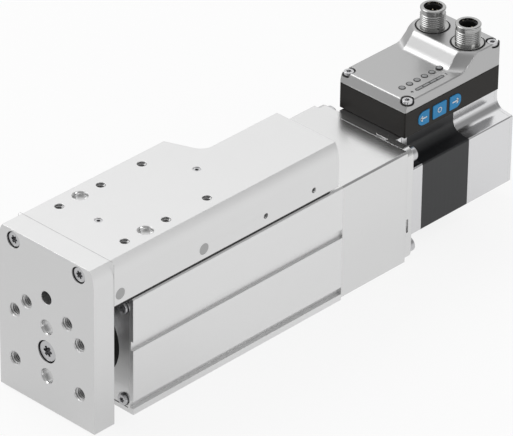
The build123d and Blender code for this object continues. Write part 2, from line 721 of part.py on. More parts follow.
def spindle_lock_nut():
    """Round nut with four slots for a hook spanner."""
    section = Circle(LOCK_NUT_RADIUS) - Circle(SPINDLE_RADIUS + SEAT_FIT)
    slot = Rectangle(LOCK_SLOT, LOCK_SLOT)
    section -= [Rot(0, 0, turn * 90) * Pos(LOCK_NUT_RADIUS, 0) * slot for turn in range(4)]
    return along_x(Pos(0, AXIS_Z) * section, NUT_END, BEARING_REAR)


# Coupling housing and coupling

HOUSING_SCREW_SEATS = [(ADAPTER_REAR, y, z) for y, z in HOUSING_SCREWS]


def coupling_housing():
    outline = Pos(0, (HOUSING_BOTTOM + BODY_HEIGHT) / 2) * Rectangle(WIDTH, BODY_HEIGHT - HOUSING_BOTTOM)
    outline = chamfer(outline.vertices().group_by(Axis.Y)[-1], EDGE_CHAMFER)
    housing = along_x(outline, HOUSING_REAR, BODY_REAR)
    hollow = turned(
        (HOUSING_REAR, 0), (HOUSING_REAR, CHAMBER_RADIUS), (WALL_REAR, CHAMBER_RADIUS), (WALL_REAR, WALL_BORE),
        (BEARING_REAR, WALL_BORE), (BEARING_REAR, BODY_BORE), (BODY_REAR, BODY_BORE), (BODY_REAR, 0),
    )
    return housing - hollow - HOUSING_SCREW.holes(HOUSING_SCREW_SEATS, FORWARD)


def claws(angle, start, end):
    """Three claws of one coupling hub."""
    shapes = [sector(CLAW_INNER, HUB_RADIUS, angle + turn * 360 / CLAWS, CLAW_ANGLE) for turn in range(CLAWS)]
    return [along_x(Pos(0, AXIS_Z) * shape, start, end) for shape in shapes]


def coupling_front_hub():
    hub = tube(HUB_JOURNAL + SEAT_FIT, HUB_RADIUS, CLAWS_FRONT, FRONT_HUB)
    return hub + claws(0, CLAWS_FRONT - CLAW_LENGTH, CLAWS_FRONT)


def coupling_rear_hub():
    hub = tube(MOTOR_SHAFT + SEAT_FIT, HUB_RADIUS, REAR_HUB_REAR, REAR_HUB_FRONT)
    return hub + claws(180 / CLAWS, REAR_HUB_FRONT, REAR_HUB_FRONT + CLAW_LENGTH)


def coupling_spider():
    """Soft star whose arms lie between the claws of the two hubs."""
    section = Circle(CLAW_INNER - SEAT_FIT) - Circle(SPIDER_INNER)
    for arm in range(2 * CLAWS):
        section += sector(CLAW_INNER - 1, HUB_RADIUS - FREE_GAP, (arm + 0.5) * 180 / CLAWS, SPIDER_ANGLE)
    return along_x(Pos(0, AXIS_Z) * section, REAR_HUB_FRONT + FREE_GAP / 2, CLAWS_FRONT - FREE_GAP / 2)


def adapter_plate():
    outline = Pos(0, (ADAPTER_BOTTOM + BODY_HEIGHT) / 2) * RectangleRounded(
        WIDTH, BODY_HEIGHT - ADAPTER_BOTTOM, ADAPTER_CORNER
    )
    outline -= Pos(0, AXIS_Z) * Circle(CHAMBER_RADIUS)
    plate = along_x(outline, ADAPTER_REAR, HOUSING_REAR)
    slot_x = (HOUSING_REAR - SLOT_INSET - SLOT_WIDTH, HOUSING_REAR - SLOT_INSET)
    half = SLOT_LENGTH / 2
    side_slot = block(slot_x, (HALF - SLOT_DEPTH, HALF + OVERRUN), (SIDE_SLOT_Z - half, SIDE_SLOT_Z + half))
    top_slot = block(
        slot_x, (TOP_SLOT_Y - half, TOP_SLOT_Y + half), (BODY_HEIGHT - SLOT_DEPTH, BODY_HEIGHT + OVERRUN)
    )
    cuts = [side_slot, top_slot]
    cuts += HOUSING_SCREW.holes(HOUSING_SCREW_SEATS, FORWARD)
    cuts += MOTOR_SCREW.holes(MOTOR_SCREW_SEATS, BACKWARD)
    return plate - cuts


# Motor

MOTOR_SCREW_SEATS = [(HOUSING_REAR, y, z) for y, z in MOTOR_SCREWS]
TIE_SCREW_SEATS = [(MOTOR_REAR, y, z) for y, z in TIE_SCREWS]


def motor_outline():
    """Square motor with its upper corners cut back to a neck that carries the controller."""
    corner = (NECK_HALF, MOTOR_SHOULDER + MOTOR_SHOULDER_RISE)
    shoulder = (MOTOR_HALF, MOTOR_SHOULDER)
    foot = (MOTOR_HALF, MOTOR_BOTTOM)
    half = make_face(
        Polyline((0, MOTOR_BOTTOM), foot, shoulder, corner, (NECK_HALF, NECK_TOP), (0, NECK_TOP), close=True)
    )
    for point, radius in ((corner, NECK_FILLET), (shoulder, SHOULDER_FILLET), (foot, SHOULDER_FILLET)):
        vertex = half.vertices().sort_by_distance((point[0], point[1], 0))[0]
        half = fillet(vertex, radius)
    return mirrored(half)


FRONT_BEARING_FRONT = ADAPTER_REAR - FLANGE_WEB
FRONT_BEARING_REAR = FRONT_BEARING_FRONT - MOTOR_BEARING_WIDTH
REAR_BEARING_FRONT = STATOR_REAR - 3.0
REAR_BEARING_REAR = REAR_BEARING_FRONT - MOTOR_BEARING_WIDTH


def motor_front_flange():
    flange = along_x(motor_outline(), FLANGE_REAR, ADAPTER_REAR)
    flange += tube(PILOT_BORE, CHAMBER_RADIUS - SEAT_FIT, ADAPTER_REAR, ADAPTER_REAR + PILOT_LENGTH)
    shaft_hole = MOTOR_SHAFT + 1
    flange -= turned(
        (ADAPTER_REAR, 0), (ADAPTER_REAR, shaft_hole), (FRONT_BEARING_FRONT, shaft_hole),
        (FRONT_BEARING_FRONT, MOTOR_BEARING_RADIUS), (FRONT_BEARING_REAR, MOTOR_BEARING_RADIUS),
        (FRONT_BEARING_REAR, CAVITY_RADIUS), (FLANGE_REAR, CAVITY_RADIUS), (FLANGE_REAR, 0),
    )
    head_room = HOUSING_SCREW.head + FREE_GAP
    cuts = MOTOR_SCREW.holes(MOTOR_SCREW_SEATS, BACKWARD) + TIE_SCREW.holes(TIE_SCREW_SEATS, FORWARD)
    for y, z in HOUSING_SCREWS:
        cuts.append(bore((ADAPTER_REAR, y, z), BACKWARD, head_room, HOUSING_SCREW.head_height + FREE_GAP))
    return flange - cuts


def slot_sectors(inner, outer, width):
    step = 360 / STATOR_SLOTS
    return [sector(inner, outer, (index + 0.5) * step, width) for index in range(STATOR_SLOTS)]


def stator():
    """Laminated stack with slots between its teeth."""
    section = motor_outline() - Pos(0, AXIS_Z) * Circle(STATOR_BORE)
    for slot in slot_sectors(SLOT_INNER, SLOT_OUTER, STATOR_SLOT_ANGLE):
        section -= Pos(0, AXIS_Z) * slot
    return along_x(section, STATOR_REAR, FLANGE_REAR) - TIE_SCREW.holes(TIE_SCREW_SEATS, FORWARD)


def stator_windings():
    inner = SLOT_INNER + WINDING_GAP
    outer = SLOT_OUTER - WINDING_GAP
    shapes = slot_sectors(inner, outer, STATOR_SLOT_ANGLE - 1.5)
    start = STATOR_REAR - WINDING_OVERHANG
    end = FLANGE_REAR + WINDING_OVERHANG
    return [along_x(Pos(0, AXIS_Z) * shape, start, end) for shape in shapes]


def motor_rear_cap():
    """Rear cap with a bearing seat, a room for the encoder and a duct up to the controller."""
    cap = along_x(motor_outline(), REAR_CAP_REAR, STATOR_REAR)
    hole = MOTOR_BEARING_RADIUS - 2
    step = ENCODER_BOARD_X
    cap -= turned(
        (STATOR_REAR, 0), (STATOR_REAR, CAVITY_RADIUS), (REAR_BEARING_FRONT, CAVITY_RADIUS),
        (REAR_BEARING_FRONT, MOTOR_BEARING_RADIUS), (REAR_BEARING_REAR, MOTOR_BEARING_RADIUS),
        (REAR_BEARING_REAR, hole), (REAR_BEARING_REAR - 2, hole), (REAR_BEARING_REAR - 2, ENCODER_HALF - 1.5),
        (step, ENCODER_HALF - 1.5), (step, ENCODER_HALF), (REAR_CAP_REAR, ENCODER_HALF), (REAR_CAP_REAR, 0),
    )
    duct = block(DUCT_X, (-DUCT_HALF, DUCT_HALF), (AXIS_Z, NECK_TOP + 1))
    return cap - duct - TIE_SCREW.holes(TIE_SCREW_SEATS, FORWARD)


def motor_end_plate():
    return along_x(motor_outline(), MOTOR_REAR, REAR_CAP_REAR) - TIE_SCREW.holes(TIE_SCREW_SEATS, FORWARD)


def motor_bearing_rings(inner, outer):
    rings = bearing_rings(inner, outer, FRONT_BEARING_REAR, MOTOR_BEARING_WIDTH)
    return rings + bearing_rings(inner, outer, REAR_BEARING_REAR, MOTOR_BEARING_WIDTH)


def motor_shaft():
    return bar(MOTOR_SHAFT, SHAFT_REAR, REAR_HUB_FRONT - 0.5)


def rotor():
    return tube(MOTOR_SHAFT + SEAT_FIT, ROTOR_RADIUS, STATOR_REAR + 0.5, FLANGE_REAR - 0.5)


def encoder_magnet():
    return bar(MAGNET_RADIUS, SHAFT_REAR - MAGNET_LENGTH, SHAFT_REAR)


def encoder_board():
    """Round board that rests on the step in the rear cap."""
    return bar(ENCODER_HALF - SEAT_FIT, ENCODER_BOARD_X - ENCODER_BOARD, ENCODER_BOARD_X)


# Controller

def control_plan(inset=0.0):
    """The controller seen from above."""
    corner = max(CONTROL_CORNER - inset, 0.2)
    plan = RectangleRounded(CONTROL_LENGTH - 2 * inset, 2 * (CONTROL_HALF - inset), corner)
    return Pos(CONTROL_MIDDLE, 0) * plan


PILLARS = [(x, side * COVER_SCREW_Y) for x in COVER_SCREWS_X for side in (-1, 1)]


def pillars(radius):
    return [Pos(x, y) * Circle(radius) for x, y in PILLARS]


def room_plan(inset=CONTROL_WALL, pillar=PILLAR_RADIUS):
    """The room inside the walls and the screw pillars."""
    return control_plan(inset) - pillars(pillar)


def level(plan, low, high):
    """A plan drawn in (X, Y), raised from low to high."""
    return extrude(Pos(0, 0, low) * plan, high - low)


def cover_screw(x):
    """Corner screw: the rear ones start from the high plateau and are longer."""
    top = LOW_TOP if x == COVER_SCREWS_X[0] else HIGH_TOP
    seat = top - RECESS_DEPTH
    return seat, Screw(1.25, 2.3, COVER_SCREW_HEAD, seat - BASE_THREAD_BOTTOM - FREE_GAP)


def cover_screw_holes(recess=0.0):
    holes = []
    for x, y in PILLARS:
        seat, screw = cover_screw(x)
        holes.append(screw.hole((x, y, seat), DOWN, 0))
        if recess:
            holes.append(bore((x, y, seat), UP, RECESS_RADIUS, recess))
    return holes


def cover_screws():
    screws = []
    for x, y in PILLARS:
        seat, screw = cover_screw(x)
        screws += screw.at([(x, y, seat)], DOWN)
    return screws


def key_plan(middle, width, end, grow):
    """A key's face in (X, Z): square, or with one end round."""
    half = KEY_HEIGHT / 2 + grow
    face = Pos(middle, KEY_Z) * Rectangle(width + 2 * grow, 2 * half)
    if end:
        corners = face.vertices().group_by(Axis.X)[-1 if end > 0 else 0]
        return fillet(corners, half * 0.9)
    return fillet(face.vertices(), 0.6)


def key_solid(middle, width, end):
    """A key cap with wings that hold it behind the wall."""
    front = CONTROL_HALF + KEY_PROUD
    inside = CONTROL_HALF - CONTROL_WALL
    cap = extrude(Plane.XZ.offset(-front) * key_plan(middle, width, end, 0), front - inside + KEY_FLANGE)
    half = width / 2 + KEY_FLANGE
    wings = block(
        (middle - half, middle + half),
        (inside - KEY_FLANGE, inside),
        (KEY_Z - KEY_HEIGHT / 2 + KEY_GAP, KEY_Z + KEY_HEIGHT / 2 - KEY_GAP),
    )
    return cap + wings


def controller_base():
    top = COVER_BOTTOM - GASKET
    base = level(control_plan(), CONTROL_BOTTOM, top)
    base = chamfer(base.faces().sort_by(Axis.Z)[0].edges(), CONTROL_CHAMFER)
    base -= level(room_plan(), FLOOR_TOP, top)
    base += [level(Pos(x, y) * Circle(POST_RADIUS), FLOOR_TOP, BOARD_BOTTOM) for x, y in POSTS]
    cuts = [block(DUCT_X, (-DUCT_HALF, DUCT_HALF), (CONTROL_BOTTOM - 1, FLOOR_TOP + 1))]
    for middle, width, end in KEYS.values():
        window = Plane.XZ.offset(-CONTROL_HALF - 1) * key_plan(middle, width, end, KEY_GAP)
        cuts.append(extrude(window, CONTROL_WALL + 1))
    cuts += cover_screw_holes() + BOARD_SCREW.holes(BOARD_SCREW_SEATS, DOWN)
    return base - cuts


BOARD_SCREW_SEATS = [(x, y, BOARD_BOTTOM + BOARD) for x, y in POSTS]


def circuit_board():
    plan = room_plan(CONTROL_WALL + FREE_GAP, PILLAR_RADIUS + FREE_GAP)
    board = level(plan, BOARD_BOTTOM, BOARD_BOTTOM + BOARD)
    return board - BOARD_SCREW.holes(BOARD_SCREW_SEATS, DOWN)


def key_board():
    """Small upright board with one dome switch behind each key."""
    dome_top = CONTROL_HALF - CONTROL_WALL - KEY_FLANGE - KEY_TRAVEL - 0.1
    places = [middle for middle, _, _ in KEYS.values()]
    board = block(
        (min(places) - 6, max(places) + 4), (KEY_BOARD_Y, KEY_BOARD_Y + KEY_BOARD), (FLOOR_TOP, BOARD_BOTTOM)
    )
    for x in places:
        board += bore((x, dome_top, KEY_Z), LEFTWARD, DOME_RADIUS, dome_top - KEY_BOARD_Y)
    return board


def controller_gasket():
    plan = control_plan(GASKET_INSET) - room_plan()
    return level(plan, COVER_BOTTOM - GASKET, COVER_BOTTOM) - cover_screw_holes()


def cover_side(ramp, y, wall=0.0):
    """Side view of the cover at y: low plateau, ramp of two arcs, high plateau."""
    start, end = ramp
    low = LOW_TOP - wall
    high = HIGH_TOP - wall
    middle = ((start + end) / 2, (low + high) / 2)
    foot = (start, low)
    crest = (end, high)
    rise = TangentArc(foot, middle, tangent=(-1, 0))
    fall = TangentArc(crest, middle, tangent=(1, 0))
    rest = Polyline(
        crest, (CONTROL_REAR + wall, high), (CONTROL_REAR + wall, COVER_BOTTOM),
        (CONTROL_FRONT - wall, COVER_BOTTOM), (CONTROL_FRONT - FRONT_LEAN - wall, low), foot,
    )
    return Plane.XZ.offset(-y) * make_face([rise, fall, rest])


def plateau_rim(cover):
    """Outer edges of the low plateau."""
    front = CONTROL_FRONT - FRONT_LEAN - CONTROL_CORNER
    side = CONTROL_HALF - CONTROL_CORNER
    edges = cover.edges().filter_by_position(Axis.Z, LOW_TOP - OVERRUN / 10, LOW_TOP + OVERRUN / 10)
    outer = [edge for edge in edges if edge.center().X > front or abs(edge.center().Y) > side]
    return [edge for edge in outer if edge.center().X > RAMP[0]]


def controller_cover():
    """Cover whose ramp leans back towards its sides."""
    rows = (
        (RAMP_SIDE, -CONTROL_HALF), (RAMP, -RAMP_MIDDLE), (RAMP, RAMP_MIDDLE), (RAMP_SIDE, CONTROL_HALF)
    )
    cover = loft([cover_side(ramp, y) for ramp, y in rows], ruled=True)
    cover &= level(control_plan(), COVER_BOTTOM, HIGH_TOP)
    cover = chamfer(plateau_rim(cover), PLATEAU_CHAMFER)
    inside = CONTROL_HALF - CONTROL_WALL
    room = extrude(cover_side(RAMP_SIDE, -inside, CONTROL_WALL), -2 * inside)
    room -= [level(Pos(x, y) * Circle(PILLAR_RADIUS), COVER_BOTTOM, HIGH_TOP) for x, y in PILLARS]
    cover -= room
    cuts = cover_screw_holes(2 * RECESS_DEPTH)
    for x in LAMP_PLACES:
        cuts.append(bore((x, LAMP_Y, LOW_TOP), DOWN, LAMP_RADIUS + SEAT_FIT, CONTROL_WALL))
    cuts.append(level(bar_plan(SEAT_FIT), LOW_TOP - CONTROL_WALL, LOW_TOP))
    for side in (-1, 1):
        place = (CONNECTOR_X, side * CONNECTOR_Y, HIGH_TOP)
        cuts.append(bore(place, DOWN, THREAD_RADIUS + SEAT_FIT, HIGH_TOP - COVER_BOTTOM))
        cuts.append(bore(place, DOWN, SEAL_RADIUS, COLLAR_HEIGHT))
    return cover - cuts


LAMP_PLACES = [LAMP_FIRST - index * LAMP_PITCH for index in range(LAMPS)]


def indicator_lenses():
    return [bore((x, LAMP_Y, LOW_TOP), DOWN, LAMP_RADIUS, CONTROL_WALL) for x in LAMP_PLACES]


def bar_plan(grow=0.0):
    front, rear = BAR_ENDS
    slot = SlotOverall(front - rear + 2 * grow, BAR_WIDTH + 2 * grow)
    return Pos((front + rear) / 2, BAR_Y) * slot


def level_bar_window():
    return level(bar_plan(), LOW_TOP - CONTROL_WALL, LOW_TOP)


def connector_places():
    return [(CONNECTOR_X, side * CONNECTOR_Y) for side in (-1, 1)]


def connector_shells():
    """Shells: bevelled lip, plain neck, thread, a collar that sits on the cover, and a foot through it."""
    seat = HIGH_TOP - COLLAR_HEIGHT
    collar = COLLAR_RING - COLLAR_HEIGHT
    bevel = THREAD_RADIUS - NECK_RADIUS
    neck_top = THREAD_TOP + NECK_LENGTH
    shells = []
    for x, y in connector_places():
        shells.append(upright(
            x, y,
            (SOCKET_RADIUS, SHELL_BOTTOM), (SOCKET_RADIUS, CONNECTOR_TOP), (NECK_RADIUS, CONNECTOR_TOP),
            (THREAD_RADIUS, CONNECTOR_TOP - bevel), (THREAD_RADIUS, neck_top + bevel), (NECK_RADIUS, neck_top),
            (NECK_RADIUS, THREAD_TOP + bevel), (THREAD_RADIUS, THREAD_TOP), (THREAD_RADIUS, HIGH_TOP + bevel),
            (collar, HIGH_TOP + bevel), (collar, seat), (THREAD_RADIUS, seat), (THREAD_RADIUS, SHELL_BOTTOM),
        ))
    return shells


def connector_inserts():
    """Cups that hold the pins and line the shells."""
    outer = SOCKET_RADIUS - SEAT_FIT
    inner = outer - INSERT_WALL
    inserts = []
    for (x, y), count in zip(connector_places(), PINS.values()):
        insert = upright(
            x, y, (0, SHELL_BOTTOM), (outer, SHELL_BOTTOM), (outer, INSERT_RIM), (inner, INSERT_RIM),
            (inner, INSERT_TOP), (0, INSERT_TOP),
        )
        inserts.append(insert - [pin(place, SEAT_FIT) for place in pin_places(x, y, count)])
    return inserts


def pin_places(x, y, count):
    """Pins stand on one circle round the connector's axis."""
    spots = [location.position for location in PolarLocations(PIN_CIRCLE, count)]
    return [(x + spot.X, y + spot.Y) for spot in spots]


def pin(place, grow=0.0):
    x, y = place
    return upright(
        x, y, (0, BOARD_BOTTOM + BOARD), (PIN_RADIUS + grow, BOARD_BOTTOM + BOARD),
        (PIN_RADIUS + grow, PIN_TOP - 0.4), (PIN_RADIUS / 2 + grow, PIN_TOP), (0, PIN_TOP),
    )


def connector_pins():
    pins = []
    for (x, y), count in zip(connector_places(), PINS.values()):
        pins += [pin(place) for place in pin_places(x, y, count)]
    return pins


def connector_seals():
    """Seal in the groove between each shell's collar and the cover."""
    low = HIGH_TOP - COLLAR_HEIGHT
    high = HIGH_TOP - SEAL_DEPTH
    inner = COLLAR_RING - COLLAR_HEIGHT + SEAT_FIT
    outer = SEAL_RADIUS - SEAT_FIT
    section = ((inner, low), (outer, low), (outer, high), (inner, high))
    return [upright(x, y, *section) for x, y in connector_places()]


# Writing the parts

def parts():
    """Every named piece of the slide."""
    pieces = {
        "base_profile": base_profile(),
        "front_cap": front_cap(),
        "front_cap_screws": CAP_SCREW.at(CAP_SCREW_SEATS, BACKWARD),
        "rod_wiper": rod_wiper(),
        "rod_guide_bush": rod_guide_bush(),
        "runner_block_screws": RUNNER_SCREW.at(RUNNER_SCREW_SEATS, DOWN),
        "coupling_housing": coupling_housing(),
        "spindle_bearing_outer_rings": spindle_bearing_outer_rings(),
        "bearing_lock_ring": bearing_lock_ring(),
        "adapter_plate": adapter_plate(),
        "housing_screws": HOUSING_SCREW.at(HOUSING_SCREW_SEATS, FORWARD),
        "motor_screws": MOTOR_SCREW.at(MOTOR_SCREW_SEATS, BACKWARD),
        "motor_front_flange": motor_front_flange(),
        "stator": stator(),
        "stator_windings": stator_windings(),
        "motor_rear_cap": motor_rear_cap(),
        "motor_end_plate": motor_end_plate(),
        "motor_tie_screws": TIE_SCREW.at(TIE_SCREW_SEATS, FORWARD),
        "motor_bearing_outer_rings": motor_bearing_rings(
            MOTOR_BEARING_SPLIT + RUNNING_FIT, MOTOR_BEARING_RADIUS - SEAT_FIT
        ),
        "encoder_board": encoder_board(),
        "controller_base": controller_base(),
        "controller_gasket": controller_gasket(),
        "controller_cover": controller_cover(),
        "controller_cover_screws": cover_screws(),
        "circuit_board": circuit_board(),
        "circuit_board_screws": BOARD_SCREW.at(BOARD_SCREW_SEATS, DOWN),
        "key_board": key_board(),
        "indicator_lenses": indicator_lenses(),
        "level_bar_window": level_bar_window(),
        "connector_shells": connector_shells(),
        "connector_inserts": connector_inserts(),
        "connector_pins": connector_pins(),
        "connector_seals": connector_seals(),
        "spindle": spindle(),
        "spindle_bearing_inner_rings": spindle_bearing_inner_rings(),
        "spindle_lock_nut": spindle_lock_nut(),
        "coupling_front_hub": coupling_front_hub(),
        "coupling_spider": coupling_spider(),
        "coupling_rear_hub": coupling_rear_hub(),
        "motor_shaft": motor_shaft(),
        "rotor": rotor(),
        "motor_bearing_inner_rings": motor_bearing_rings(MOTOR_SHAFT + SEAT_FIT, MOTOR_BEARING_SPLIT),
        "encoder_magnet": encoder_magnet(),
        "table": table(),
        "yoke_plate": yoke_plate(),
        "yoke_cap_screws": YOKE_SCREW.at(YOKE_SCREW_SEATS, BACKWARD),
        "yoke_centre_screw": ROD_SCREW.at(ROD_SCREW_SEATS, BACKWARD),
        "guide_rail": guide_rail(),
        "rail_screws": RAIL_SCREW.at(RAIL_SCREW_SEATS, UP),
        "push_rod": push_rod(),
        "spindle_nut": spindle_nut(),
        "nut_buffers": nut_buffers(),
        "side_plugs": side_plugs(),
        "table_set_screws": table_set_screws(),
    }
    for name, centre in RUNNER_CENTRES.items():
        pieces[name] = runner_block(centre)
    for name, (middle, width, end) in KEYS.items():
        pieces[name] = key_solid(middle, width, end)
    return pieces


def main():
    os.makedirs("parts", exist_ok=True)
    for name, piece in parts().items():
        shape = Compound(children=piece) if isinstance(piece, list) else piece
        export_step(shape, f"parts/{name}.step")


main()
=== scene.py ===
# %% [markdown]
# # A small electric slide
# The slide is a machine part: a motor turns a spindle, and the spindle pushes a table with an upright
# front plate along a rail. Its shapes come packed from the CAD program and stay where they are. Here
# they get their finishes and the small details that a drawing leaves out: threads, star drives, lamps,
# marks on the keys. Lengths are typed in millimetres and turned into metres by MM. Only the floor and the
# lamps are given in metres.

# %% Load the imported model
import json
from math import atan2, cos, radians, sin, sqrt

import bmesh
import bpy
from mathutils import Matrix, Quaternion, Vector


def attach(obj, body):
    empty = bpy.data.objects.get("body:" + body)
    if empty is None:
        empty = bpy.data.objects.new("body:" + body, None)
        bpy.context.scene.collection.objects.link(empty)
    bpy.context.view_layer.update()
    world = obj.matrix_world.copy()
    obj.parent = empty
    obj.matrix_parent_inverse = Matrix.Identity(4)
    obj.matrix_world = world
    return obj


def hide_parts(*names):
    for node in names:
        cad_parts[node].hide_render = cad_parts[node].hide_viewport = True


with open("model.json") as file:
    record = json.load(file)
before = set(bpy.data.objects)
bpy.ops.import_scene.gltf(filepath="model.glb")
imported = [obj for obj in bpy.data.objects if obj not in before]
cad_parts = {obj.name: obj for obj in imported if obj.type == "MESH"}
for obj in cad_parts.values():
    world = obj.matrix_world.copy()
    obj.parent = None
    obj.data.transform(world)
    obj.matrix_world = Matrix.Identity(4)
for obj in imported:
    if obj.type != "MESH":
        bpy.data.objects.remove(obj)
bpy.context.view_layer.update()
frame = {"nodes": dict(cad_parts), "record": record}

MM = 0.001

# %% [markdown]
# ## The camera
# The picture was taken with a long lens from in front, above and on the key side. A lens this long keeps
# parallel edges nearly parallel. The camera is placed by the point it aims at, its distance and three
# angles, because those are the numbers that one would read off a tripod.

# %% Camera
AIM = Vector((-40.58, 0, 41.21)) * MM
DISTANCE = 2286.06 * MM
AZIMUTH = radians(133.700)
ELEVATION = radians(31.786)
ROLL = radians(0.790)
LENS = 360.62

away = Vector((sin(AZIMUTH) * cos(ELEVATION), -cos(AZIMUTH) * cos(ELEVATION), sin(ELEVATION)))
bpy.ops.object.camera_add(location=AIM + DISTANCE * away)
camera = bpy.context.object
camera.rotation_mode = "QUATERNION"
camera.rotation_quaternion = (-away).to_track_quat("-Z", "Y") @ Quaternion((0, 0, 1), ROLL)
camera.data.sensor_width = 36
camera.data.lens = LENS
bpy.context.scene.camera = camera
bpy.context.scene.view_settings.view_transform = "Standard"
print("camera at", [round(v, 3) for v in camera.location])

# %% [markdown]
# ## Shader sums written as sums
# A material in Blender is a net of nodes. Written node by node it is long and hard to read, so a small
# class wraps an output and lets it be added and multiplied like a number. Each sum adds one Math node.

# %% Sockets that can be added and multiplied
MIX_FIRST, MIX_SECOND, MIX_RESULT = 6, 7, 2   # a Mix node's sockets for colours
EDGE_SAMPLES = 4                              # rays that a Bevel node spends on one point
BUMP_DEPTH = 0.05                             # height of a full bump


class Wire:
    """One output of a node that takes part in sums."""

    def __init__(self, net, socket):
        self.net = net
        self.socket = socket

    def sum(self, operation, first, second):
        return self.net.add("ShaderNodeMath", {"operation": operation}, {0: first, 1: second})

    def __add__(self, other):
        return self.sum("ADD", self, other)

    def __radd__(self, other):
        return self.sum("ADD", other, self)

    def __sub__(self, other):
        return self.sum("SUBTRACT", self, other)

    def __rsub__(self, other):
        return self.sum("SUBTRACT", other, self)

    def __mul__(self, other):
        return self.sum("MULTIPLY", self, other)

    def __rmul__(self, other):
        return self.sum("MULTIPLY", other, self)


class Net:
    """The nodes of a material or of the world, added one at a time."""

    def __init__(self, owner):
        self.owner = owner
        owner.use_nodes = True
        self.tree = owner.node_tree
        self.tree.nodes.clear()

    def add(self, kind, settings=None, inputs=None, output=0):
        node = self.tree.nodes.new(kind)
        for key, value in (settings or {}).items():
            if key == "stops":
                for stop, (place, colour) in zip(node.color_ramp.elements, value):
                    stop.position = place
                    stop.color = colour
            else:
                setattr(node, key, value)
        for key, value in (inputs or {}).items():
            if isinstance(value, Wire):
                self.tree.links.new(value.socket, node.inputs[key])
            else:
                node.inputs[key].default_value = value
        return Wire(self, node.outputs[output]) if node.outputs else None

    def place(self, stretch=(1, 1, 1)):
        """The point on the object, stretched, so that a pattern gets a grain."""
        spot = self.add("ShaderNodeTexCoord", output="Object")
        return self.add("ShaderNodeMapping", inputs={"Vector": spot, "Scale": stretch})

    def noise(self, scale, detail=2.0, stretch=(1, 1, 1)):
        """Soft random values from 0 to 1, with about scale patches to the metre."""
        return self.add("ShaderNodeTexNoise", inputs={
            "Vector": self.place(stretch), "Scale": scale, "Detail": detail, "Roughness": 0.55,
        })

    def tint(self, first, second, share):
        """A colour between two others."""
        return self.add("ShaderNodeMix", {"data_type": "RGBA"}, {
            "Factor": share, MIX_FIRST: (*first, 1), MIX_SECOND: (*second, 1),
        }, output=MIX_RESULT)

    def skin(self, strength, height, edge):
        """Fine bumps over edges that are rounded in the shading only."""
        rounded = self.add("ShaderNodeBevel", {"samples": EDGE_SAMPLES}, {"Radius": edge * MM})
        return self.add("ShaderNodeBump", inputs={
            "Strength": strength, "Distance": BUMP_DEPTH * MM, "Height": height, "Normal": rounded,
        })

    def close(self, surface):
        self.add("ShaderNodeOutputMaterial", inputs={"Surface": surface})
        return self.owner


def finish_named(name):
    return Net(bpy.data.materials.new(name))


# %% [markdown]
# ## Metal finishes
# Nearly everything here is aluminium that was milled or extruded, then blasted and anodised. Up close
# it has a fine grain that blurs its reflections, faint clouds of tone, and edges that were broken by a
# tiny bevel and so catch the light. The grain goes into roughness and bump. The broken edges come from a
# Bevel node, which rounds only the shading and leaves the CAD shape alone.

# %% Satin metal
CLOUDS, SPECKLE = 35, 2600         # patches to the metre
LINES, DRAWN_LINES = 160, 26
DRAWN_STRETCH = (1, 55, 55)        # draws the lines out along X


def satin(name, colour, roughness, grain=0.02, drawn=False, edge=0.25):
    finish = finish_named(name)
    clouds = finish.noise(CLOUDS)
    speckle = finish.noise(SPECKLE, 1.0)
    if drawn:
        lines = finish.noise(DRAWN_LINES, 3.0, DRAWN_STRETCH)
    else:
        lines = finish.noise(LINES, 2.0)
    darker = tuple(0.975 * part for part in colour)
    surface = finish.add("ShaderNodeBsdfPrincipled", inputs={
        "Base Color": finish.tint(darker, colour, clouds * 0.6 + lines * 0.4),
        "Metallic": 1.0,
        "Roughness": roughness + 0.05 * (lines - 0.5) + 0.04 * (speckle - 0.5),
        "Normal": finish.skin(grain, speckle * 0.8 + lines * 0.2, edge),
    })
    return finish.close(surface)


# %% [markdown]
# ## Moulded, painted and rubber finishes
# The controller's lower half and the keys are moulded plastic with a fine spark-eroded skin. The motor's
# stack of steel sheets is painted black, and faint bands across it stand for the sheets. Rubber is dull.

# %% Moulded skin and stacked sheets
PITS, PLASTIC_CLOUDS, PAINT_CLOUDS = 2200, 60, 50   # patches to the metre
SOFT_EDGE = 0.3
BAND_SCALE = 105.0                                  # bands 3 mm apart


def moulded(name, colour, roughness, skin=0.12, coat=0.0, shine=0.5):
    finish = finish_named(name)
    pits = finish.noise(PITS, 2.0)
    clouds = finish.noise(PLASTIC_CLOUDS)
    darker = tuple(0.88 * part for part in colour)
    surface = finish.add("ShaderNodeBsdfPrincipled", inputs={
        "Base Color": finish.tint(darker, colour, clouds * 0.5 + pits * 0.5),
        "Roughness": roughness + 0.12 * (pits - 0.5),
        "Specular IOR Level": shine,
        "Coat Weight": coat,
        "Normal": finish.skin(skin, pits, SOFT_EDGE),
    })
    return finish.close(surface)


def sheets(name, colour, roughness):
    """Painted steel sheets stacked along X, shown as faint bands."""
    finish = finish_named(name)
    edges = finish.add("ShaderNodeTexWave", {"wave_type": "BANDS", "bands_direction": "X"}, {
        "Vector": finish.place(), "Scale": BAND_SCALE, "Distortion": 0.4, "Detail": 1.0,
    }, output="Fac")
    clouds = finish.noise(PAINT_CLOUDS)
    darker = tuple(0.8 * part for part in colour)
    surface = finish.add("ShaderNodeBsdfPrincipled", inputs={
        "Base Color": finish.tint(darker, colour, edges * 0.4 + clouds * 0.6),
        "Roughness": roughness + 0.08 * (clouds - 0.5),
        "Normal": finish.skin(0.06, edges, SOFT_EDGE),
    })
    return finish.close(surface)


